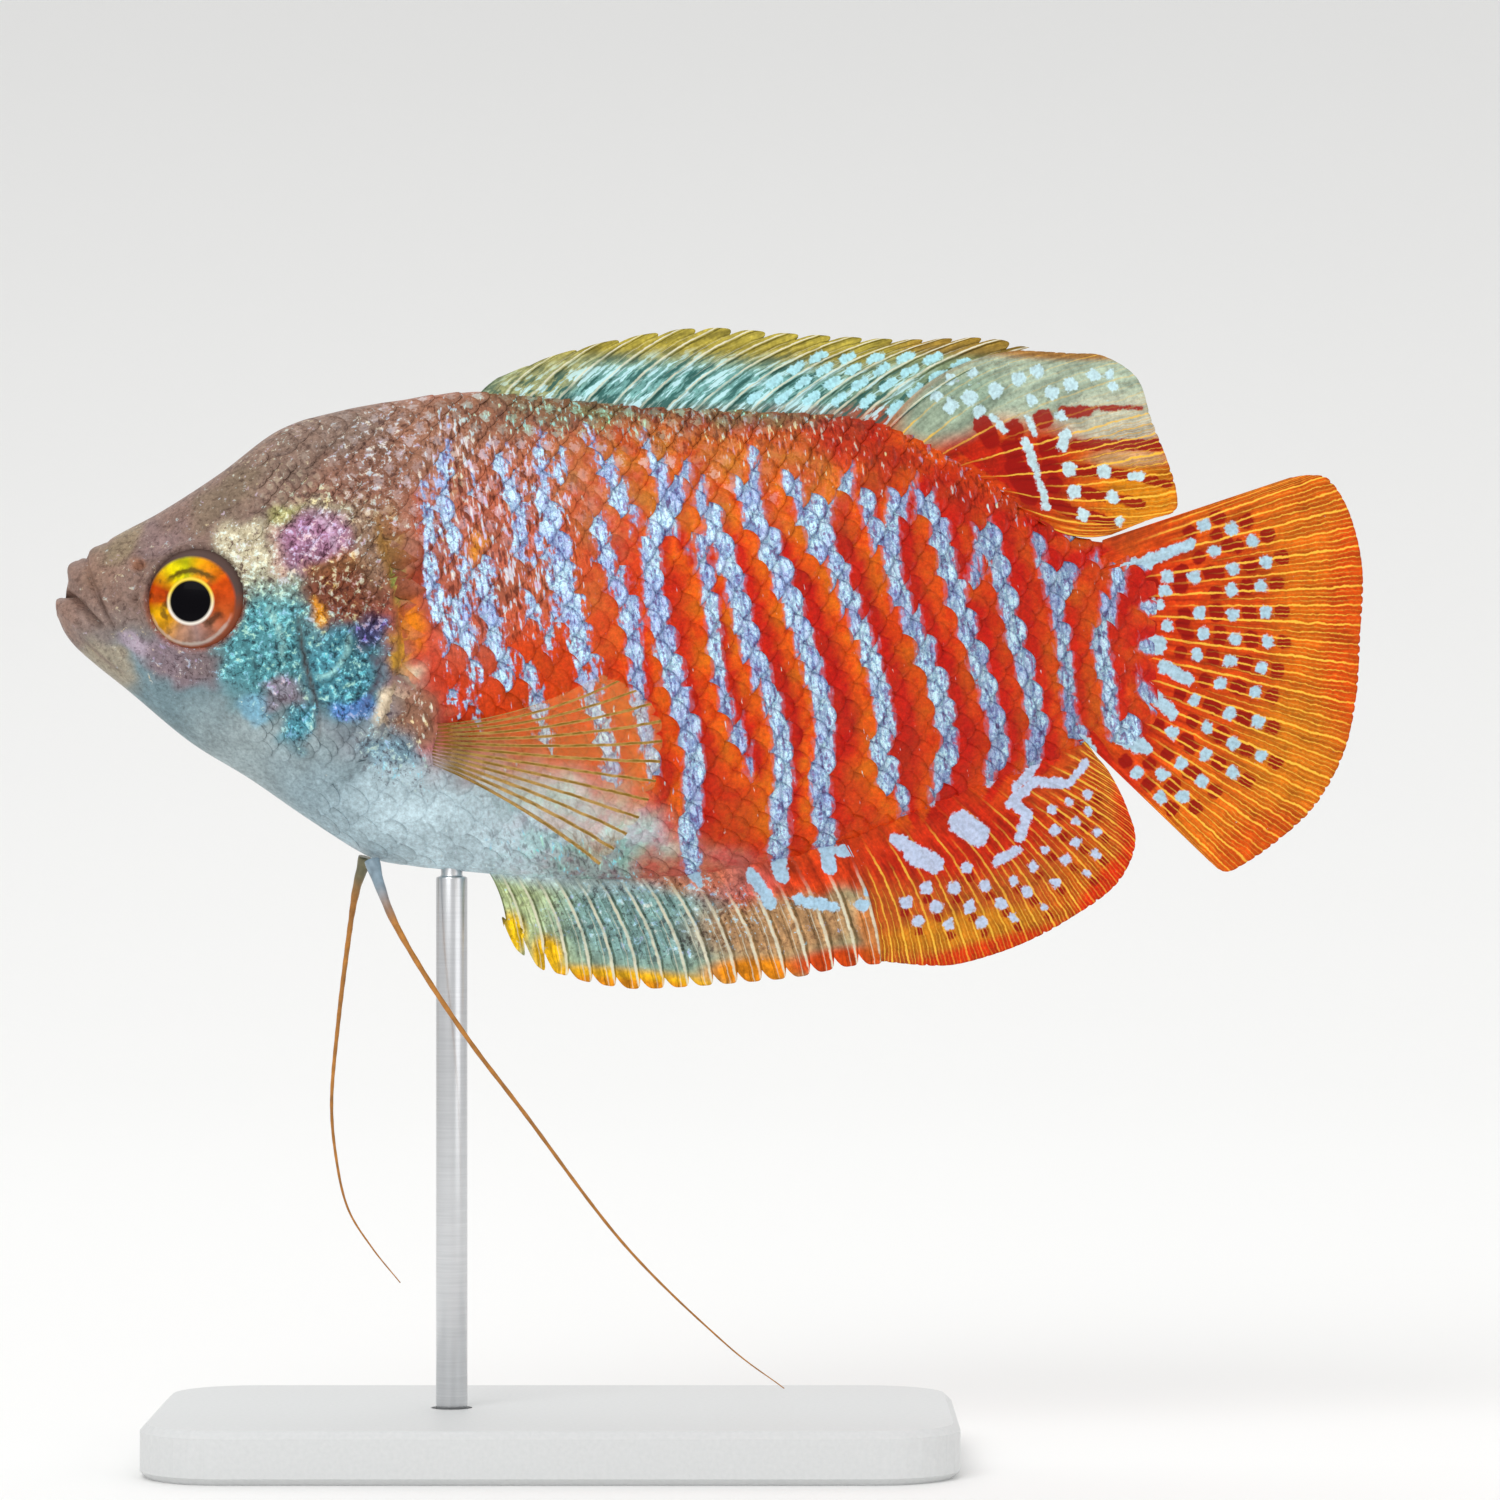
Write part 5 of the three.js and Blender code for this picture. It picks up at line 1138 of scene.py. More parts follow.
def paint_fin(name, ray_colour, line_tint, lines, alpha=1.0, rough=0.25):
    """Wet membrane: washes of pigment, rays that part toward the margin, and pale dots. Each
    line is given by its parts of a ray, phase in the lane, half-width, where it begins,
    strength, and whether it is dark."""
    made, add, shader = new_material(name, Roughness=0.45, IOR=1.4, Specular_IOR_Level=0.12,
                                     Coat_Weight=0.04, Coat_Roughness=0.15)
    place = add("TexCoord", out="Object")
    tone, glint = (add("Attribute", attribute_name=key) for key in ("tone", "glint"))
    dots, dark, lane, gap, reach, speck, streaky, lined = (
        add("Attribute", out="Fac", attribute_name=key)
        for key in ("bar", "dark", "lane", "gap", "reach", "speck", "streaky", "lined"))
    cloud = add("TexNoise", place, Scale=1 / (1.1 * MM), Detail=4.0, Roughness=0.65)
    ragged = add("TexNoise", place, Scale=1 / (0.4 * MM), Detail=3.0, Roughness=0.65)
    grain = add("TexNoise", place, Scale=1 / (0.2 * MM), Detail=2.0)
    sway = add("Math", cloud, 0.22, lane, operation="MULTIPLY_ADD")
    cloudy = add("MapRange", cloud, 0.3, 0.7, 0.78, 1.18)
    gritty = add("MapRange", grain, 0.3, 0.7, 0.82, 1.18)
    lift = add("Math", cloudy, gritty, operation="MULTIPLY")
    colour = add("VectorMath", tone, lift, operation="SCALE")

    # streaks along the rays, in a fin that isn't clear
    if alpha == 1.0:
        colour = mosaic(add, place, colour, glint, speck)
        grid = add("Mapping", add("CombineXYZ", sway, reach), Scale=(3.2, 4.0, 1.0))
        grid = add("TexNoise", grid, Scale=1.0, Detail=3.0, Roughness=0.6)
        along_rays = add("MapRange", grid, 0.34, 0.66, 1 - rough, 1 + rough)
        colour = add("VectorMath", colour, along_rays, operation="SCALE")
        for low, high, target in ((0.53, 0.58, "#c8f0f6"), (0.47, 0.42, "#2f625c")):
            band = add("MapRange", grid, low, high, 0, 0.85, interpolation_type="SMOOTHSTEP")
            band = add("Math", band, streaky, operation="MULTIPLY")
            colour = add("Mix", band, colour, target, data_type="RGBA")
    darkened = add("Math", ragged, 0.5, dark, operation="MULTIPLY_ADD")
    darkened = add("MapRange", darkened, 0.18, 0.32, 0, 0.94, interpolation_type="SMOOTHSTEP")
    colour = add("Mix", darkened, colour, "#960f06", data_type="RGBA")

    for parts, phase, width, begin, strength, dim in lines:
        turned = add("Math", sway, float(parts), phase, operation="MULTIPLY_ADD")
        off = add("Math", turned, 0.5, operation="PINGPONG")
        wide = add("Math", off, gap, operation="MULTIPLY")
        amount = add("MapRange", wide, width * parts, 0.35 * width * parts,
                     interpolation_type="SMOOTHSTEP")
        shown = add("MapRange", reach, begin, begin + 0.2, 0, strength,
                    interpolation_type="SMOOTHSTEP")
        broken = add("MapRange", cloud if parts < 4 else ragged, 0.36, 0.56, 0.5)
        for factor in (shown, lined, broken):
            amount = add("Math", amount, factor, operation="MULTIPLY")
        target = ray_colour
        if dim:
            target = add("VectorMath", colour, line_tint, operation="MULTIPLY")
        colour = add("Mix", amount, colour, target, data_type="RGBA")

    # pale dots with frayed edges, over everything else
    shift = add("Math", ragged, 0.5, operation="SUBTRACT")
    edge = add("Math", shift, 0.6, dots, operation="MULTIPLY_ADD")
    dotted_in = add("MapRange", edge, -0.04, 0.08, 0, 0.95, interpolation_type="SMOOTHSTEP")
    spot = add("VectorMath", glint, gritty, operation="SCALE")
    put(add("Mix", dotted_in, colour, spot, data_type="RGBA"), shader["Base Color"])
    put(add("Bump", Height=ragged, Strength=0.35, Distance=0.04 * MM), shader["Normal"])
    if alpha < 1:
        off = add("Math", sway, 0.5, operation="PINGPONG")
        wide = add("Math", off, gap, operation="MULTIPLY")
        clear = add("MapRange", wide, lines[0][2], 0.04, alpha, 0.95)
        fleshy = add("MapRange", reach, 0.14, 0.02)
        put(add("Math", clear, fleshy, operation="MAXIMUM"), shader["Alpha"])
    return made


def washed(x, z, ground, patches):
    """A ground colour under a fin's own washes."""
    tone = np.tile(linear(ground), (len(x), 1))
    for patch in patches:
        tone = over(tone, patch[5], patch_weight(x, z, patch) * patch[6])
    return tone


def dotted(x, z, spots, focus=(0.0, 47.0)):
    """How far inside the nearest pale dot; dots are squarish, and some are short streaks."""
    best = np.full(x.shape, -3.0)
    for spot in spots:
        if len(spot) == 3:
            aim = math.atan2(spot[1] - focus[1], spot[0] - focus[0])
            px, pz = x - spot[0], z - spot[1]
            p = np.abs(px * math.cos(aim) + pz * math.sin(aim))
            q = np.abs(pz * math.cos(aim) - px * math.sin(aim))
            inside = spot[2] - (p ** 3 + q ** 3) ** (1 / 3)
        else:
            ax, az, bx, bz, wide = spot
            dx, dz = bx - ax, bz - az
            t = np.clip(((x - ax) * dx + (z - az) * dz) / (dx * dx + dz * dz), 0, 1)
            inside = wide - np.hypot(x - ax - t * dx, z - az - t * dz)
        best = np.maximum(best, inside)
    return best


def upright_fin(name, shape, ground, patches, spots, darks, focus, dot_colour, paint,
                stands_for, flank_share, ripple=0.0, root_half=0.42, specks=(), streaks=(),
                calm=()):
    """A fin of the middle plane: its own washes and dots, and the flank's over its root."""
    x, z = shape.middle[..., 0].ravel(), shape.middle[..., 1].ravel()
    middle = np.stack([shape.middle[..., 0], np.zeros(shape.v.shape), shape.middle[..., 1]], -1)
    flank_values, flank_colours = markings(x, z)
    share = flank_share(x, z, shape.v.ravel())

    def field(places, ground_level):
        found = np.full(len(x), ground_level)
        for place in places:
            found = np.maximum(found, patch_weight(x, z, place) * place[5])
        return found

    streaky = field(streaks, 0.0)
    values = {"bar": np.maximum(dotted(x, z, spots, focus),
                                flank_values["bar"] - 2 * (1 - share)),
              "dark": dotted(x, z, darks, focus),
              "speck": np.maximum(field(specks, 0.03), flank_values["speck"] * share),
              "streaky": streaky,
              "lined": (1 - np.maximum(field(calm, 0.0), share)) * (1 - 0.2 * streaky)}
    colours = {"tone": over(washed(x, z, ground, patches), flank_colours["tone"], share),
               "glint": np.tile(linear(dot_colour), (len(x), 1))}
    fin_mesh(name, shape, middle, SIDEWAYS, ripple, root_half, values, colours, paint,
             stands_for)


def between_dots(spots, focus, away, size):
    """The dark patch that follows each dot toward the margin."""
    darks = []
    for spot in spots:
        if len(spot) == 3:
            way = np.array([spot[0] - focus[0], spot[1] - focus[1]])
            way = way / np.linalg.norm(way)
            darks.append((spot[0] + away * way[0], spot[1] + away * way[1], size))
    return darks


# Soft membrane: red, with golden rays that part toward the margin.
red_fin = paint_fin("soft_fin_membrane", "#f6c244", (0.60, 0.24, 0.20), [
    (1, 0.0, 0.085, -0.5, 0.85, False), (2, 0.5, 0.10, 0.15, 0.6, True),
    (2, 0.0, 0.075, 0.25, 0.75, False), (4, 0.5, 0.06, 0.45, 0.55, True),
    (4, 0.0, 0.055, 0.40, 0.62, False), (8, 0.5, 0.04, 0.68, 0.6, True),
    (8, 0.0, 0.04, 0.62, 0.5, False)])
# Spiny membrane: blue-green streaks between pale spines, each with a dark line beside it.
pale_spine = paint_fin("spiny_fin_membrane", "#e4e0c6", (0.30, 0.30, 0.22), [
    (1, -0.15, 0.12, -0.5, 0.9, True), (1, 0.0, 0.13, -0.5, 0.95, False),
    (1, 0.42, 0.06, -0.5, 0.6, True), (1, 0.30, 0.05, 0.3, 0.5, False)], rough=0.42)

# The tail fin: a fan of soft rays from the end of the tail, with rows of pale dots and a
# dark patch on both sides of each.
TAIL_TOP = np.array([31.9, 52.9])
TAIL_LOW = np.array([30.4, 41.2])
TAIL_FOCUS = (25.5, 47.2)
tail_shape = FinShape(
    lambda u: TAIL_TOP + (TAIL_LOW - TAIL_TOP) * u[:, None],
    [(42.1, 56.3), (43.3, 56.45), (44.4, 56.15), (45.6, 54.2), (46.35, 51.0), (46.15, 47.0),
     (45.9, 43.6), (45.2, 40.4), (43.6, 37.5), (41.3, 35.4), (39.2, 34.0), (38.3, 33.75),
     (37.5, 34.35)], rays=14, fine=16, rows=84, lobe=0.008, forks=True, lobes=4)
TAIL_DOTS = [
    (37.2, 53.6), (38.8, 53.4), (40.0, 52.7), (37.8, 52.1), (36.7, 50.6), (38.9, 51.1),
    (40.8, 51.5), (38.8, 49.9), (40.5, 50.1), (37.0, 48.6), (38.9, 48.5), (40.8, 48.6),
    (37.2, 47.4), (39.0, 47.1), (40.9, 46.9), (36.8, 46.2), (38.7, 45.8), (40.5, 45.4),
    (38.2, 44.5), (40.2, 44.0), (36.7, 43.6), (38.7, 42.8), (40.3, 42.3), (37.4, 42.0),
    (38.9, 41.1), (40.5, 40.4), (35.9, 39.9), (37.3, 40.4), (38.9, 39.4), (33.4, 39.4),
    (34.8, 39.3), (37.1, 38.9), (34.7, 38.0), (36.0, 38.0), (35.1, 50.6), (35.0, 49.8),
    (35.1, 47.8), (35.4, 41.7)]
TAIL_STREAKS = [(36.4, 52.5, 34.1, 51.6, 0.36), (34.1, 51.6, 32.4, 50.0, 0.45),
                (33.4, 49.1, 34.7, 49.0, 0.32), (33.7, 46.9, 34.5, 46.7, 0.6),
                (33.4, 44.8, 35.4, 42.8, 0.40), (31.6, 42.1, 33.8, 40.8, 0.45),
                (34.9, 45.5, 36.3, 44.8, 0.38)]
tail_dots = [(x, z, 0.38) for x, z in TAIL_DOTS]
upright_fin(
    "tail_fin_membrane", tail_shape, "#dc6a12",
    [(34.5, 46.8, 4.6, 8.0, 0, "#d23a0c", 0.95), (39.3, 46.5, 3.0, 8.6, 4, "#c8440c", 0.9),
     (45.8, 47.0, 2.0, 11.0, -4, "#cf4808", 0.9), (42.5, 47.0, 1.8, 8.0, 0, "#d4640c", 0.7),
     (42.2, 40.5, 3.6, 3.6, 30, "#c87a14", 0.6),
     (40.4, 35.4, 3.4, 1.6, 32, "#c8480a", 0.85), (42.5, 55.8, 3.6, 1.8, 20, "#cc5a0c", 0.7)],
    tail_dots + TAIL_STREAKS, between_dots(tail_dots, TAIL_FOCUS, 0.92, 0.42)
    + between_dots(tail_dots, TAIL_FOCUS, -0.92, 0.38), TAIL_FOCUS, "#a9cddd", red_fin,
    ("tail_fin",), lambda x, z, v: 1 - step(x, 33.0, 35.5), ripple=0.35, root_half=0.5,
    calm=[(46.4, 46.5, 1.3, 10.0, -4, 0.55), (40.5, 34.8, 3.4, 1.6, 32, 0.5)])

# The soft part of the dorsal fin: pale blue-green above and deep red at its root, dotted
# blue, its branched rays standing free along the margin.
dorsal_soft = FinShape(
    lambda u: np.stack([19.3 + 8.9 * u, back_z(19.3 + 8.9 * u) - 0.1], -1),
    [(26.7, 63.6), (29.5, 63.45), (31.5, 63.3), (33.4, 62.0), (34.2, 59.6), (35.1, 57.4),
     (35.65, 55.6), (35.55, 54.4), (34.1, 53.9), (31.95, 53.05)],
    rays=9, fine=16, rows=76, lobe=0.008, forks=True, bow=(-0.5, 0.5), lobes=4)
DORSAL_DOTS = [
    (22.7, 61.9, 0.32), (24.0, 62.3, 0.28), (21.9, 61.0, 0.34), (23.8, 60.9, 0.46),
    (25.3, 61.3, 0.44), (26.6, 62.0, 0.42), (27.7, 62.4, 0.4),
    (28.5, 61.2, 0.4), (29.6, 61.7, 0.42), (30.9, 62.2, 0.38), (31.8, 62.2, 0.28),
    (32.0, 61.5, 0.3), (27.3, 60.8, 0.36), (24.3, 60.1, 0.36), (22.7, 60.4, 0.42),
    (29.3, 58.8, 29.1, 58.1, 0.36), (29.5, 56.8, 0.42), (31.5, 56.7, 0.42),
    (33.1, 56.4, 33.6, 56.4, 0.26), (29.8, 55.5, 0.4), (32.0, 55.2, 0.4), (30.3, 54.2, 0.36),
    (32.4, 53.8, 0.28), (29.0, 59.8, 0.32), (25.1, 59.8, 25.8, 59.0, 0.22),
    (27.1, 59.8, 27.5, 58.8, 0.2), (27.0, 58.3, 27.5, 57.0, 0.3),
    (27.5, 57.0, 27.8, 56.0, 0.18), (27.8, 56.0, 28.2, 54.6, 0.24)]
DORSAL_DARKS = [
    (29.2, 60.1, 30.5, 60.1, 0.34), (31.0, 60.3, 33.6, 60.3, 0.16), (28.0, 59.7, 0.55),
    (26.3, 59.1, 0.55), (28.3, 58.1, 0.6), (29.8, 58.2, 34.6, 58.2, 0.32),
    (29.9, 56.7, 31.1, 56.7, 0.34), (31.9, 56.6, 33.0, 56.4, 0.30), (33.9, 56.2, 35.2, 56.0, 0.26),
    (28.4, 56.9, 0.5), (28.6, 55.9, 0.5), (30.3, 55.5, 31.5, 55.2, 0.33),
    (32.4, 55.1, 33.6, 54.8, 0.30), (28.7, 54.8, 29.8, 54.3, 0.36),
    (30.8, 54.1, 32.0, 53.7, 0.33), (26.2, 58.0, 0.55), (26.4, 57.0, 27.2, 55.3, 0.6),
    (24.5, 59.4, 25.0, 58.5, 0.55)]
upright_fin(
    "dorsal_fin_soft_membrane", dorsal_soft, "#cf5f10",
    [(28.6, 61.9, 8.4, 2.8, 0, "#a6b6a0", 1.0), (32.2, 59.6, 3.6, 1.7, 0, "#bfc3ac", 0.9),
     (30.0, 63.6, 6.0, 0.6, 0, "#a9702a", 0.9), (24.8, 57.2, 3.4, 1.9, -26, "#b81e0a", 0.95),
     (27.5, 56.4, 2.6, 3.0, -20, "#b01a0a", 0.9), (33.6, 55.2, 2.4, 2.0, 0, "#dd8a12", 0.9),
     (33.0, 57.4, 2.6, 0.5, 0, "#c9a878", 0.8), (22.6, 60.3, 3.6, 2.0, 24, "#93aa94", 0.95)],
    DORSAL_DOTS, DORSAL_DARKS, (20.0, 57.0), "#bfdde4", red_fin, ("dorsal_fin_soft",),
    lambda x, z, v: (1 - step(v, 0.04, 0.18)) * 0.8 * step(x, 21.5, 24.5), ripple=0.25,
    specks=[(27.0, 61.4, 8.0, 2.8, 0, 0.30)], calm=[(28.0, 61.4, 9.0, 2.7, 0, 0.85)])

# The spiny part of the dorsal fin: sixteen hard pale spines in a low blue-green sail, with
# a point of membrane behind each.
dorsal_spiny = FinShape(
    lambda u: np.stack([-4.2 + 23.8 * u, back_z(-4.2 + 23.8 * u) - 0.1], -1),
    [(-3.3, 62.0), (-0.3, 63.2), (3.6, 64.2), (8.3, 64.85), (13.5, 64.5), (19.8, 64.2),
     (24.6, 64.25), (27.1, 63.7)], rays=16, fine=14, rows=56, lobe=0.075, bow=(-0.25, -0.3),
    lean=0.78)
# short pale dashes between the rearmost spines
SPINE_DOTS = []
for k in range(9, 15):
    for high in (0.14, 0.30, 0.46, 0.62):
        column = int(round((k + 0.5) * 14))
        here = dorsal_spiny.middle[column, int(high * 55)]
        there = dorsal_spiny.middle[column, int(high * 55) + 4]
        SPINE_DOTS.append((here[0], here[1], there[0], there[1], 0.26))
upright_fin(
    "dorsal_fin_spiny_membrane", dorsal_spiny, "#a8983e",
    [(9.0, 61.0, 17.0, 2.2, -2, "#74aeac", 0.95), (21.5, 61.6, 6.5, 2.0, 6, "#7d9678", 0.85),
     (-1.0, 61.9, 3.4, 1.4, 20, "#b5a95c", 0.7), (20.0, 59.5, 4.0, 0.8, -10, "#a5401c", 0.8),
     (24.0, 63.9, 5.0, 0.7, 0, "#8a5a1c", 0.6)],
    SPINE_DOTS, [], (0.0, 40.0), "#abdfe8", pale_spine, ("dorsal_fin_spiny",),
    lambda x, z, v: (1 - step(v, 0.02, 0.14)) * 0.5, ripple=0.2,
    specks=[(10.0, 60.8, 17.0, 2.0, -2, 0.25)],
    streaks=[(4.0, 61.2, 9.5, 2.1, 6, 1.0), (15.0, 61.0, 9.0, 2.3, -2, 0.95)])

# The spiny part of the anal fin: short spines in a blue-grey sail with a yellow hem, cut
# deep between the first of them.
anal_spiny = FinShape(
    lambda u: np.stack([-3.9 + 20.5 * u ** 1.2, belly_z(-3.9 + 20.5 * u ** 1.2) + 0.1], -1),
    [(-2.7, 29.9), (-0.6, 28.4), (1.5, 27.6), (3.8, 27.2), (5.5, 27.15), (10.2, 27.45),
     (13.8, 27.8), (16.6, 28.4), (18.9, 28.6)], rays=17, fine=14, rows=72,
    lobe=lambda u: 0.10 + 0.30 * (1 - step(u, 0.10, 0.17)), bow=(-0.35, -0.2), notched=0.06)
upright_fin(
    "anal_fin_spiny_membrane", anal_spiny, "#8f9f80",
    [(-1.4, 31.2, 3.4, 4.4, 0, "#b9c893", 1.0), (5.5, 31.2, 6.2, 3.4, 0, "#7ea5a2", 0.95),
     (13.0, 30.8, 5.5, 2.4, 6, "#b8885a", 0.9), (14.5, 34.0, 6.0, 1.5, 6, "#cf4a14", 0.95),
     (6.9, 33.4, 1.2, 0.7, -50, "#c9922e", 0.8), (10.4, 33.0, 1.0, 1.4, 30, "#d2591a", 0.95),
     (15.0, 33.2, 0.7, 1.1, 30, "#cc4712", 0.95), (17.2, 33.6, 0.7, 1.2, 20, "#c8400f", 0.9),
     (13.2, 33.2, 0.6, 1.2, 30, "#c9521a", 0.9),
     (3.2, 27.5, 8.6, 0.8, -4, "#e4ac18", 1.0), (3.2, 27.2, 8.4, 0.5, -4, "#e08a12", 0.9),
     (11.5, 28.0, 3.2, 0.9, 2, "#d9820f", 1.0), (16.6, 28.6, 3.6, 0.9, 6, "#c8440c", 1.0),
     (-2.4, 30.2, 0.9, 1.3, 10, "#e8bc18", 1.0), (-0.4, 29.0, 1.0, 1.2, 20, "#e8b414", 1.0),
     (18.4, 31.0, 1.2, 2.4, 0, "#c2681e", 0.8)],
    [(16.3, 34.9, 17.9, 34.9, 0.34), (14.0, 32.1, 16.0, 31.7, 0.36), (17.6, 31.8, 0.4),
     (18.0, 32.6, 19.7, 33.3, 0.34), (11.3, 33.6, 12.4, 31.9, 0.40)],
    [], (0.0, 40.0), "#a6cbe2", pale_spine, ("anal_fin_spiny",),
    lambda x, z, v: (1 - step(v - 0.18 * step(x, 6.0, 10.0), 0.05, 0.30)) * 0.95, ripple=0.25,
    specks=[(6.0, 31.2, 8.6, 3.2, 0, 0.85), (13.0, 30.8, 5.5, 2.2, 6, 0.6),
            (-1.0, 31.5, 3.0, 3.2, 0, 0.5)])

# The soft part of the anal fin: deep red, with small pale dots in rows and pale bars that
# run on from the flank.
anal_soft = FinShape(
    lambda u: np.stack([16.4 + 14.0 * u, belly_z(16.4 + 14.0 * u) + 0.1], -1),
    [(18.7, 28.6), (21.5, 28.35), (23.5, 28.5), (26.6, 29.5), (29.6, 31.1), (32.2, 33.0),
     (33.3, 35.3), (32.8, 37.4), (31.8, 39.4), (31.0, 40.4)],
    rays=14, fine=16, rows=76, lobe=0.012, forks=True, bow=(-0.3, -0.1), lobes=3)
ANAL_DOTS = [
    (28.5, 37.3, 0.28), (29.5, 37.7, 0.24), (30.6, 38.2, 0.28), (30.6, 37.2, 0.27),
    (29.9, 36.6, 0.26), (31.1, 36.0, 0.27), (28.7, 36.1, 0.33), (29.9, 35.4, 0.3),
    (31.0, 34.7, 0.3), (28.1, 35.0, 0.27), (29.3, 34.4, 0.32), (27.4, 34.0, 0.32),
    (30.5, 33.6, 0.22), (28.7, 33.1, 0.3), (26.3, 33.2, 0.28), (27.1, 32.6, 0.32),
    (28.0, 31.7, 0.2), (24.7, 32.9, 0.35), (22.9, 32.8, 0.38), (21.3, 32.8, 0.36),
    (20.1, 32.0, 0.34), (21.9, 31.7, 0.37), (23.8, 31.7, 0.37), (25.6, 31.9, 0.34),
    (26.3, 31.1, 0.27), (24.5, 30.8, 0.33), (22.6, 30.7, 0.33), (20.8, 30.9, 0.34),
    (23.6, 34.0, 0.34)]
ANAL_BARS = [
    (19.6, 35.6, 20.6, 34.9, 0.42), (20.7, 34.7, 21.7, 34.2, 0.62), (23.3, 36.5, 24.2, 35.9, 0.74),
    (26.1, 37.6, 27.5, 38.9, 0.32), (27.5, 38.9, 29.5, 38.8, 0.30), (29.5, 38.8, 30.4, 39.9, 0.26),
    (26.2, 37.7, 27.1, 37.1, 0.32), (27.1, 37.1, 26.7, 35.7, 0.32), (25.3, 34.3, 26.5, 35.0, 0.30)]
ANAL_FOCUS = (20.0, 44.0)
upright_fin(
    "anal_fin_soft_membrane", anal_soft, "#b8521a",
    [(23.0, 35.5, 7.0, 2.6, 10, "#bf1f0a", 0.9), (30.2, 37.0, 2.4, 3.0, 0, "#c4420e", 0.7),
     (23.5, 30.4, 5.5, 1.1, 10, "#cc8416", 0.8), (30.2, 33.2, 1.6, 3.0, -30, "#c0580f", 0.8),
     (24.5, 28.9, 8.5, 0.9, 16, "#cc3408", 1.0), (31.6, 32.8, 0.9, 3.4, -38, "#cf2c08", 1.0),
     (33.0, 36.4, 0.8, 3.0, 12, "#cc2a08", 1.0)],
    ANAL_DOTS + ANAL_BARS, between_dots(ANAL_DOTS, ANAL_FOCUS, 0.62, 0.26), ANAL_FOCUS,
    "#b7c8e2", red_fin, ("anal_fin_soft",),
    lambda x, z, v: (1 - step(v, 0.10, 0.34)) * 0.95, ripple=0.3,
    calm=[(24.5, 28.6, 9.0, 1.4, 16, 0.7), (31.8, 32.6, 1.4, 3.8, -38, 0.7),
          (33.2, 36.4, 1.2, 3.4, 12, 0.6), (25.0, 33.0, 8.0, 3.0, 20, 0.5)])

# The pectoral fins: a clear membrane on a dozen thin rays, from a fleshy root at the
# shoulder, held back and away from the flank.
PECTORAL_X, PECTORAL_Z, PECTORAL_HEIGHT = -6.15, 40.95, 2.7
PECTORAL_SPREAD = 0.45             # angle away from the flank
PECTORAL_CUP = 0.9
# Clear membrane: the flank shows through it between the dark rays.
clear_fin = paint_fin("clear_fin_membrane", "#6f5412", (1, 1, 1),
                      [(1, 0.0, 0.10, -0.5, 0.95, False)], alpha=0.10)
pectoral = FinShape(
    lambda u: np.stack([np.full(u.shape, PECTORAL_X),
                        PECTORAL_Z + PECTORAL_HEIGHT * (0.5 - u)], -1),
    [(2.9, 44.9), (4.5, 44.2), (5.6, 43.3), (6.2, 42.2), (6.2, 40.6), (5.9, 39.0), (5.1, 37.2),
     (3.9, 35.6), (2.7, 34.3)], rays=13, fine=12, rows=64, lobe=0.03, bow=(0.25, -0.15))
pectoral.crest = pectoral.crest * 0.6
rise = (PECTORAL_Z - widest_z(PECTORAL_X)) / (widest_z(PECTORAL_X) - belly_z(PECTORAL_X))
shoulder_y = float(half_width(PECTORAL_X) * math.sin(math.acos(abs(rise))) ** 1.08) + 0.6
px, pz = pectoral.middle[..., 0], pectoral.middle[..., 1]
run = (px - PECTORAL_X) / math.cos(PECTORAL_SPREAD)
cup = PECTORAL_CUP * np.sin(math.pi * pectoral.u) * pectoral.v ** 2
out = shoulder_y + run * math.sin(PECTORAL_SPREAD) * 0.98 + cup * 0.9
tone = washed(px.ravel(), pz.ravel(), "#f0c070", [(-5.6, 41.0, 1.5, 1.8, 0, "#a68a52", 0.7)])
tone = over(tone, markings(px.ravel(), pz.ravel())[1]["tone"],
            1 - step(pectoral.v.ravel(), 0.02, 0.14))
none, zero, every = (np.full(px.size, level) for level in (-3.0, 0.0, 1.0))
for side, label in ((-1.0, "left"), (1.0, "right")):
    fin_mesh("pectoral_fin_" + label + "_membrane", pectoral,
             np.stack([px, side * out, pz], -1),
             np.array([-math.sin(PECTORAL_SPREAD), side * math.cos(PECTORAL_SPREAD), 0]),
             0.0, 0.2,
             {"bar": none, "dark": none, "speck": zero, "streaky": zero, "lined": every},
             {"tone": tone, "glint": tone}, clear_fin, ("pectoral_fin_" + label,))

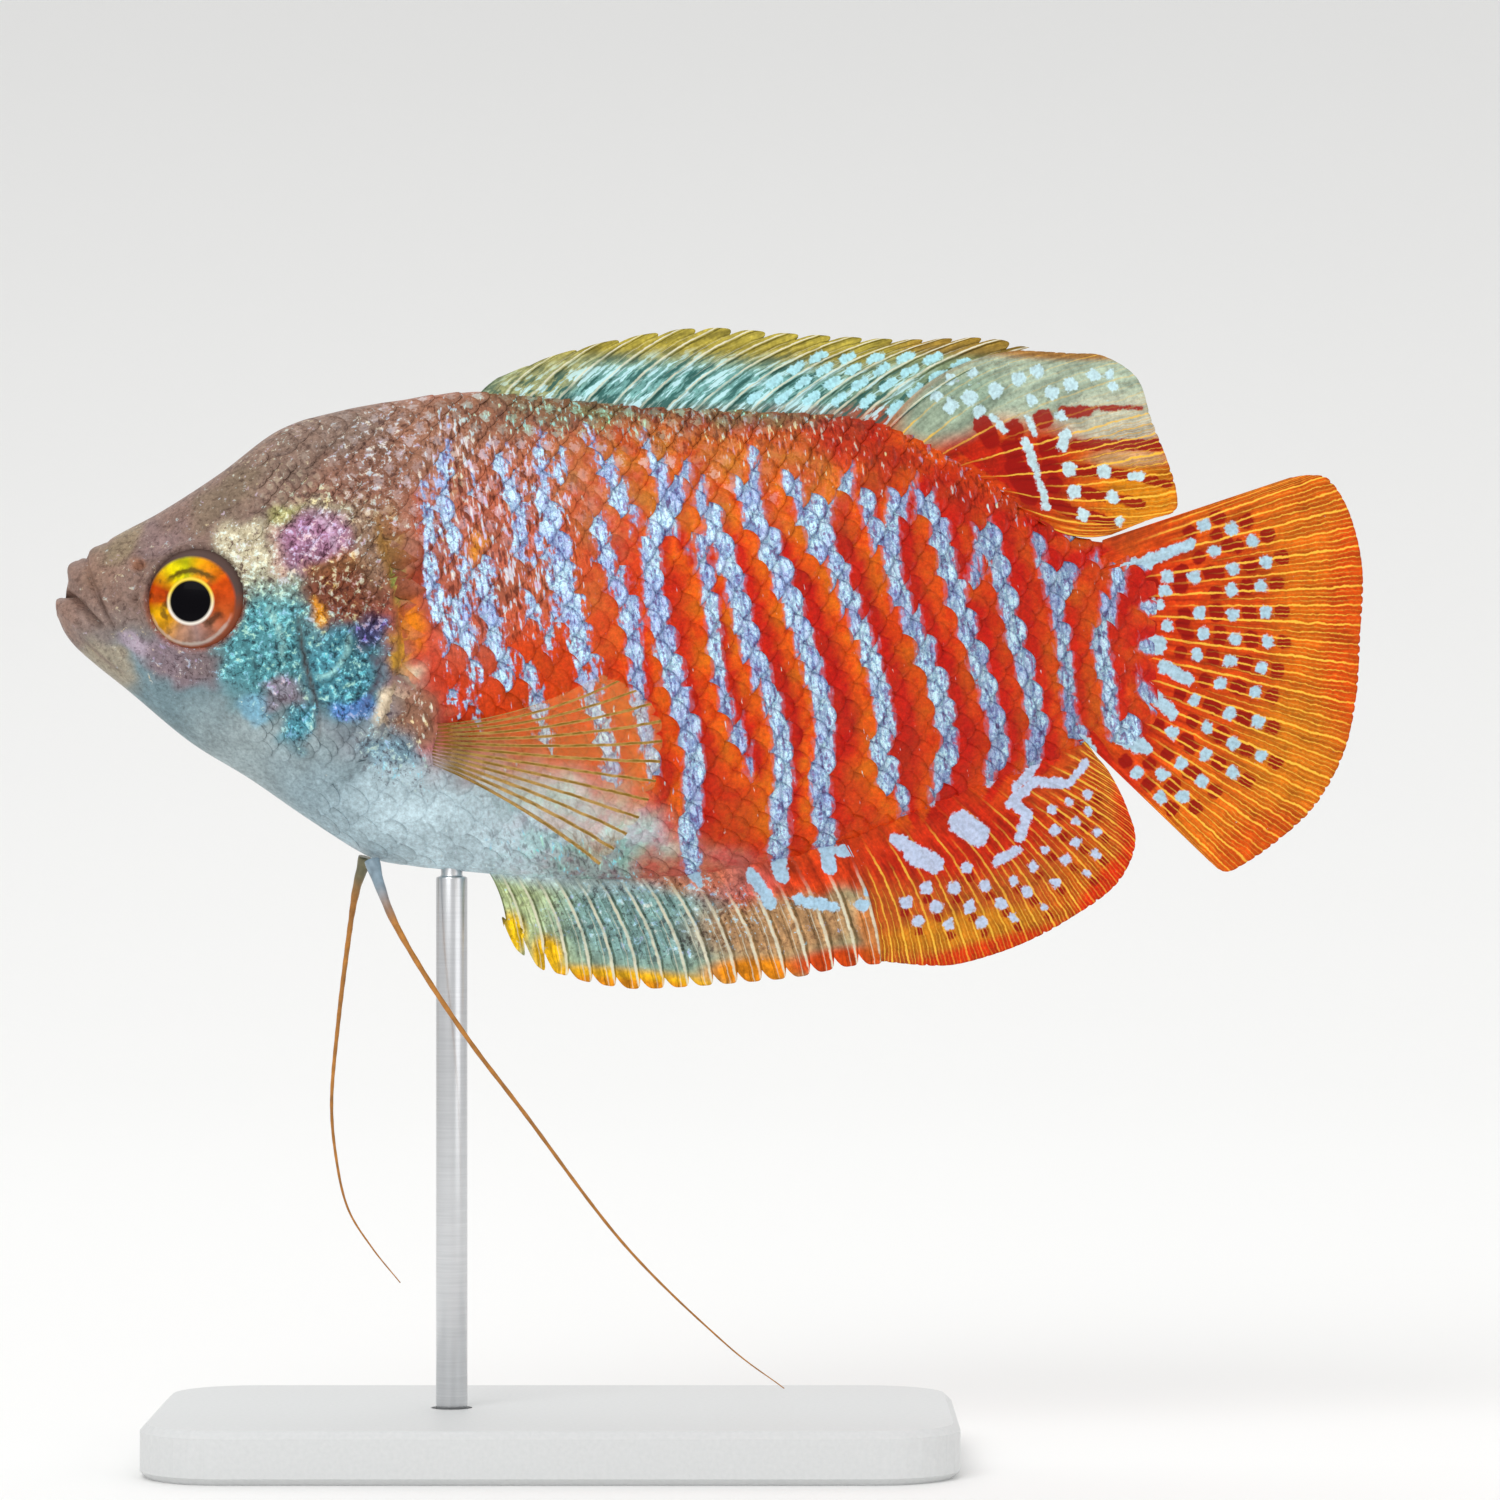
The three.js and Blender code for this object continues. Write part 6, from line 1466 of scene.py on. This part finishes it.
# The feelers: the pelvic fins of a gourami, each one long soft ray like a thread that hangs
# from the chest. Grey-blue or olive at the root, then orange-brown.
FEELERS = {
    "left": ("#7f93a0", [
        (-10.4, -1.3, 34.4), (-9.9, -1.75, 32.9), (-9.0, -2.4, 30.8), (-7.2, -3.1, 27.8),
        (-4.6, -3.5, 24.0), (-1.7, -3.5, 20.2), (4.0, -2.6, 12.6), (9.7, -1.6, 6.9),
        (13.15, -1.0, 4.2)]),
    "right": ("#6f6a4e", [
        (-10.9, 1.3, 34.5), (-11.5, 1.75, 32.6), (-12.0, 2.4, 29.6), (-12.6, 3.0, 25.0),
        (-13.0, 3.2, 20.4), (-12.7, 2.9, 17.0), (-12.0, 2.5, 14.2), (-10.6, 2.1, 12.0),
        (-8.95, 1.8, 10.0)])}
FEELER_ROWS, FEELER_AROUND = 150, 16

# Feeler skin: soft and mottled, as if the thread were jointed.
thread_skin, add, shader = new_material("feeler_skin", Roughness=0.4, IOR=1.4,
                                        Coat_Weight=0.2, Coat_Roughness=0.2)
joints = add("TexNoise", add("TexCoord", out="Object"), Scale=1 / (0.6 * MM), Detail=3.0)
mottle = add("MapRange", joints, 0.3, 0.7, 0.7, 1.25)
put(add("VectorMath", add("Attribute", attribute_name="tone"), mottle, operation="SCALE"),
    shader["Base Color"])

share = np.linspace(0, 1, FEELER_ROWS)
thick = np.interp(share, [0, 0.05, 0.14, 0.4, 0.7, 1.0], [0.44, 0.27, 0.16, 0.12, 0.08, 0.03])
thick = thick * (1 + 0.05 * np.sin(share * 160))
turn = np.linspace(0, 2 * math.pi, FEELER_AROUND, endpoint=False)
uv = np.stack([np.repeat(share, FEELER_AROUND),
               np.tile(turn / (2 * math.pi), FEELER_ROWS)], -1)
for label, (root_colour, route) in FEELERS.items():
    line = spaced(route, share)
    ahead = np.gradient(line, axis=0)
    ahead = ahead / np.linalg.norm(ahead, axis=1, keepdims=True)
    above = np.cross(ahead, [0.0, 1.0, 0.0])
    above = above / np.linalg.norm(above, axis=1, keepdims=True)
    beside = np.cross(ahead, above)
    ring = (np.cos(turn)[None, :, None] * above[:, None]
            + np.sin(turn)[None, :, None] * beside[:, None])
    points = (line[:, None] + ring * thick[:, None, None]).reshape(-1, 3)
    tone = over(np.array([linear(root_colour)]), "#ab7029", step(share, 0.03, 0.11))
    feeler = plain_mesh("feeler_" + label, points,
                        [grid_faces(FEELER_ROWS, FEELER_AROUND, wrap=True)], uv, {},
                        {"tone": np.repeat(tone, FEELER_AROUND, axis=0)})
    face_outward(feeler, open_ends=True)
    dress(feeler, thread_skin)
    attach(feeler, "root")
    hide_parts("feeler_" + label + "_upper", "feeler_" + label + "_lower")
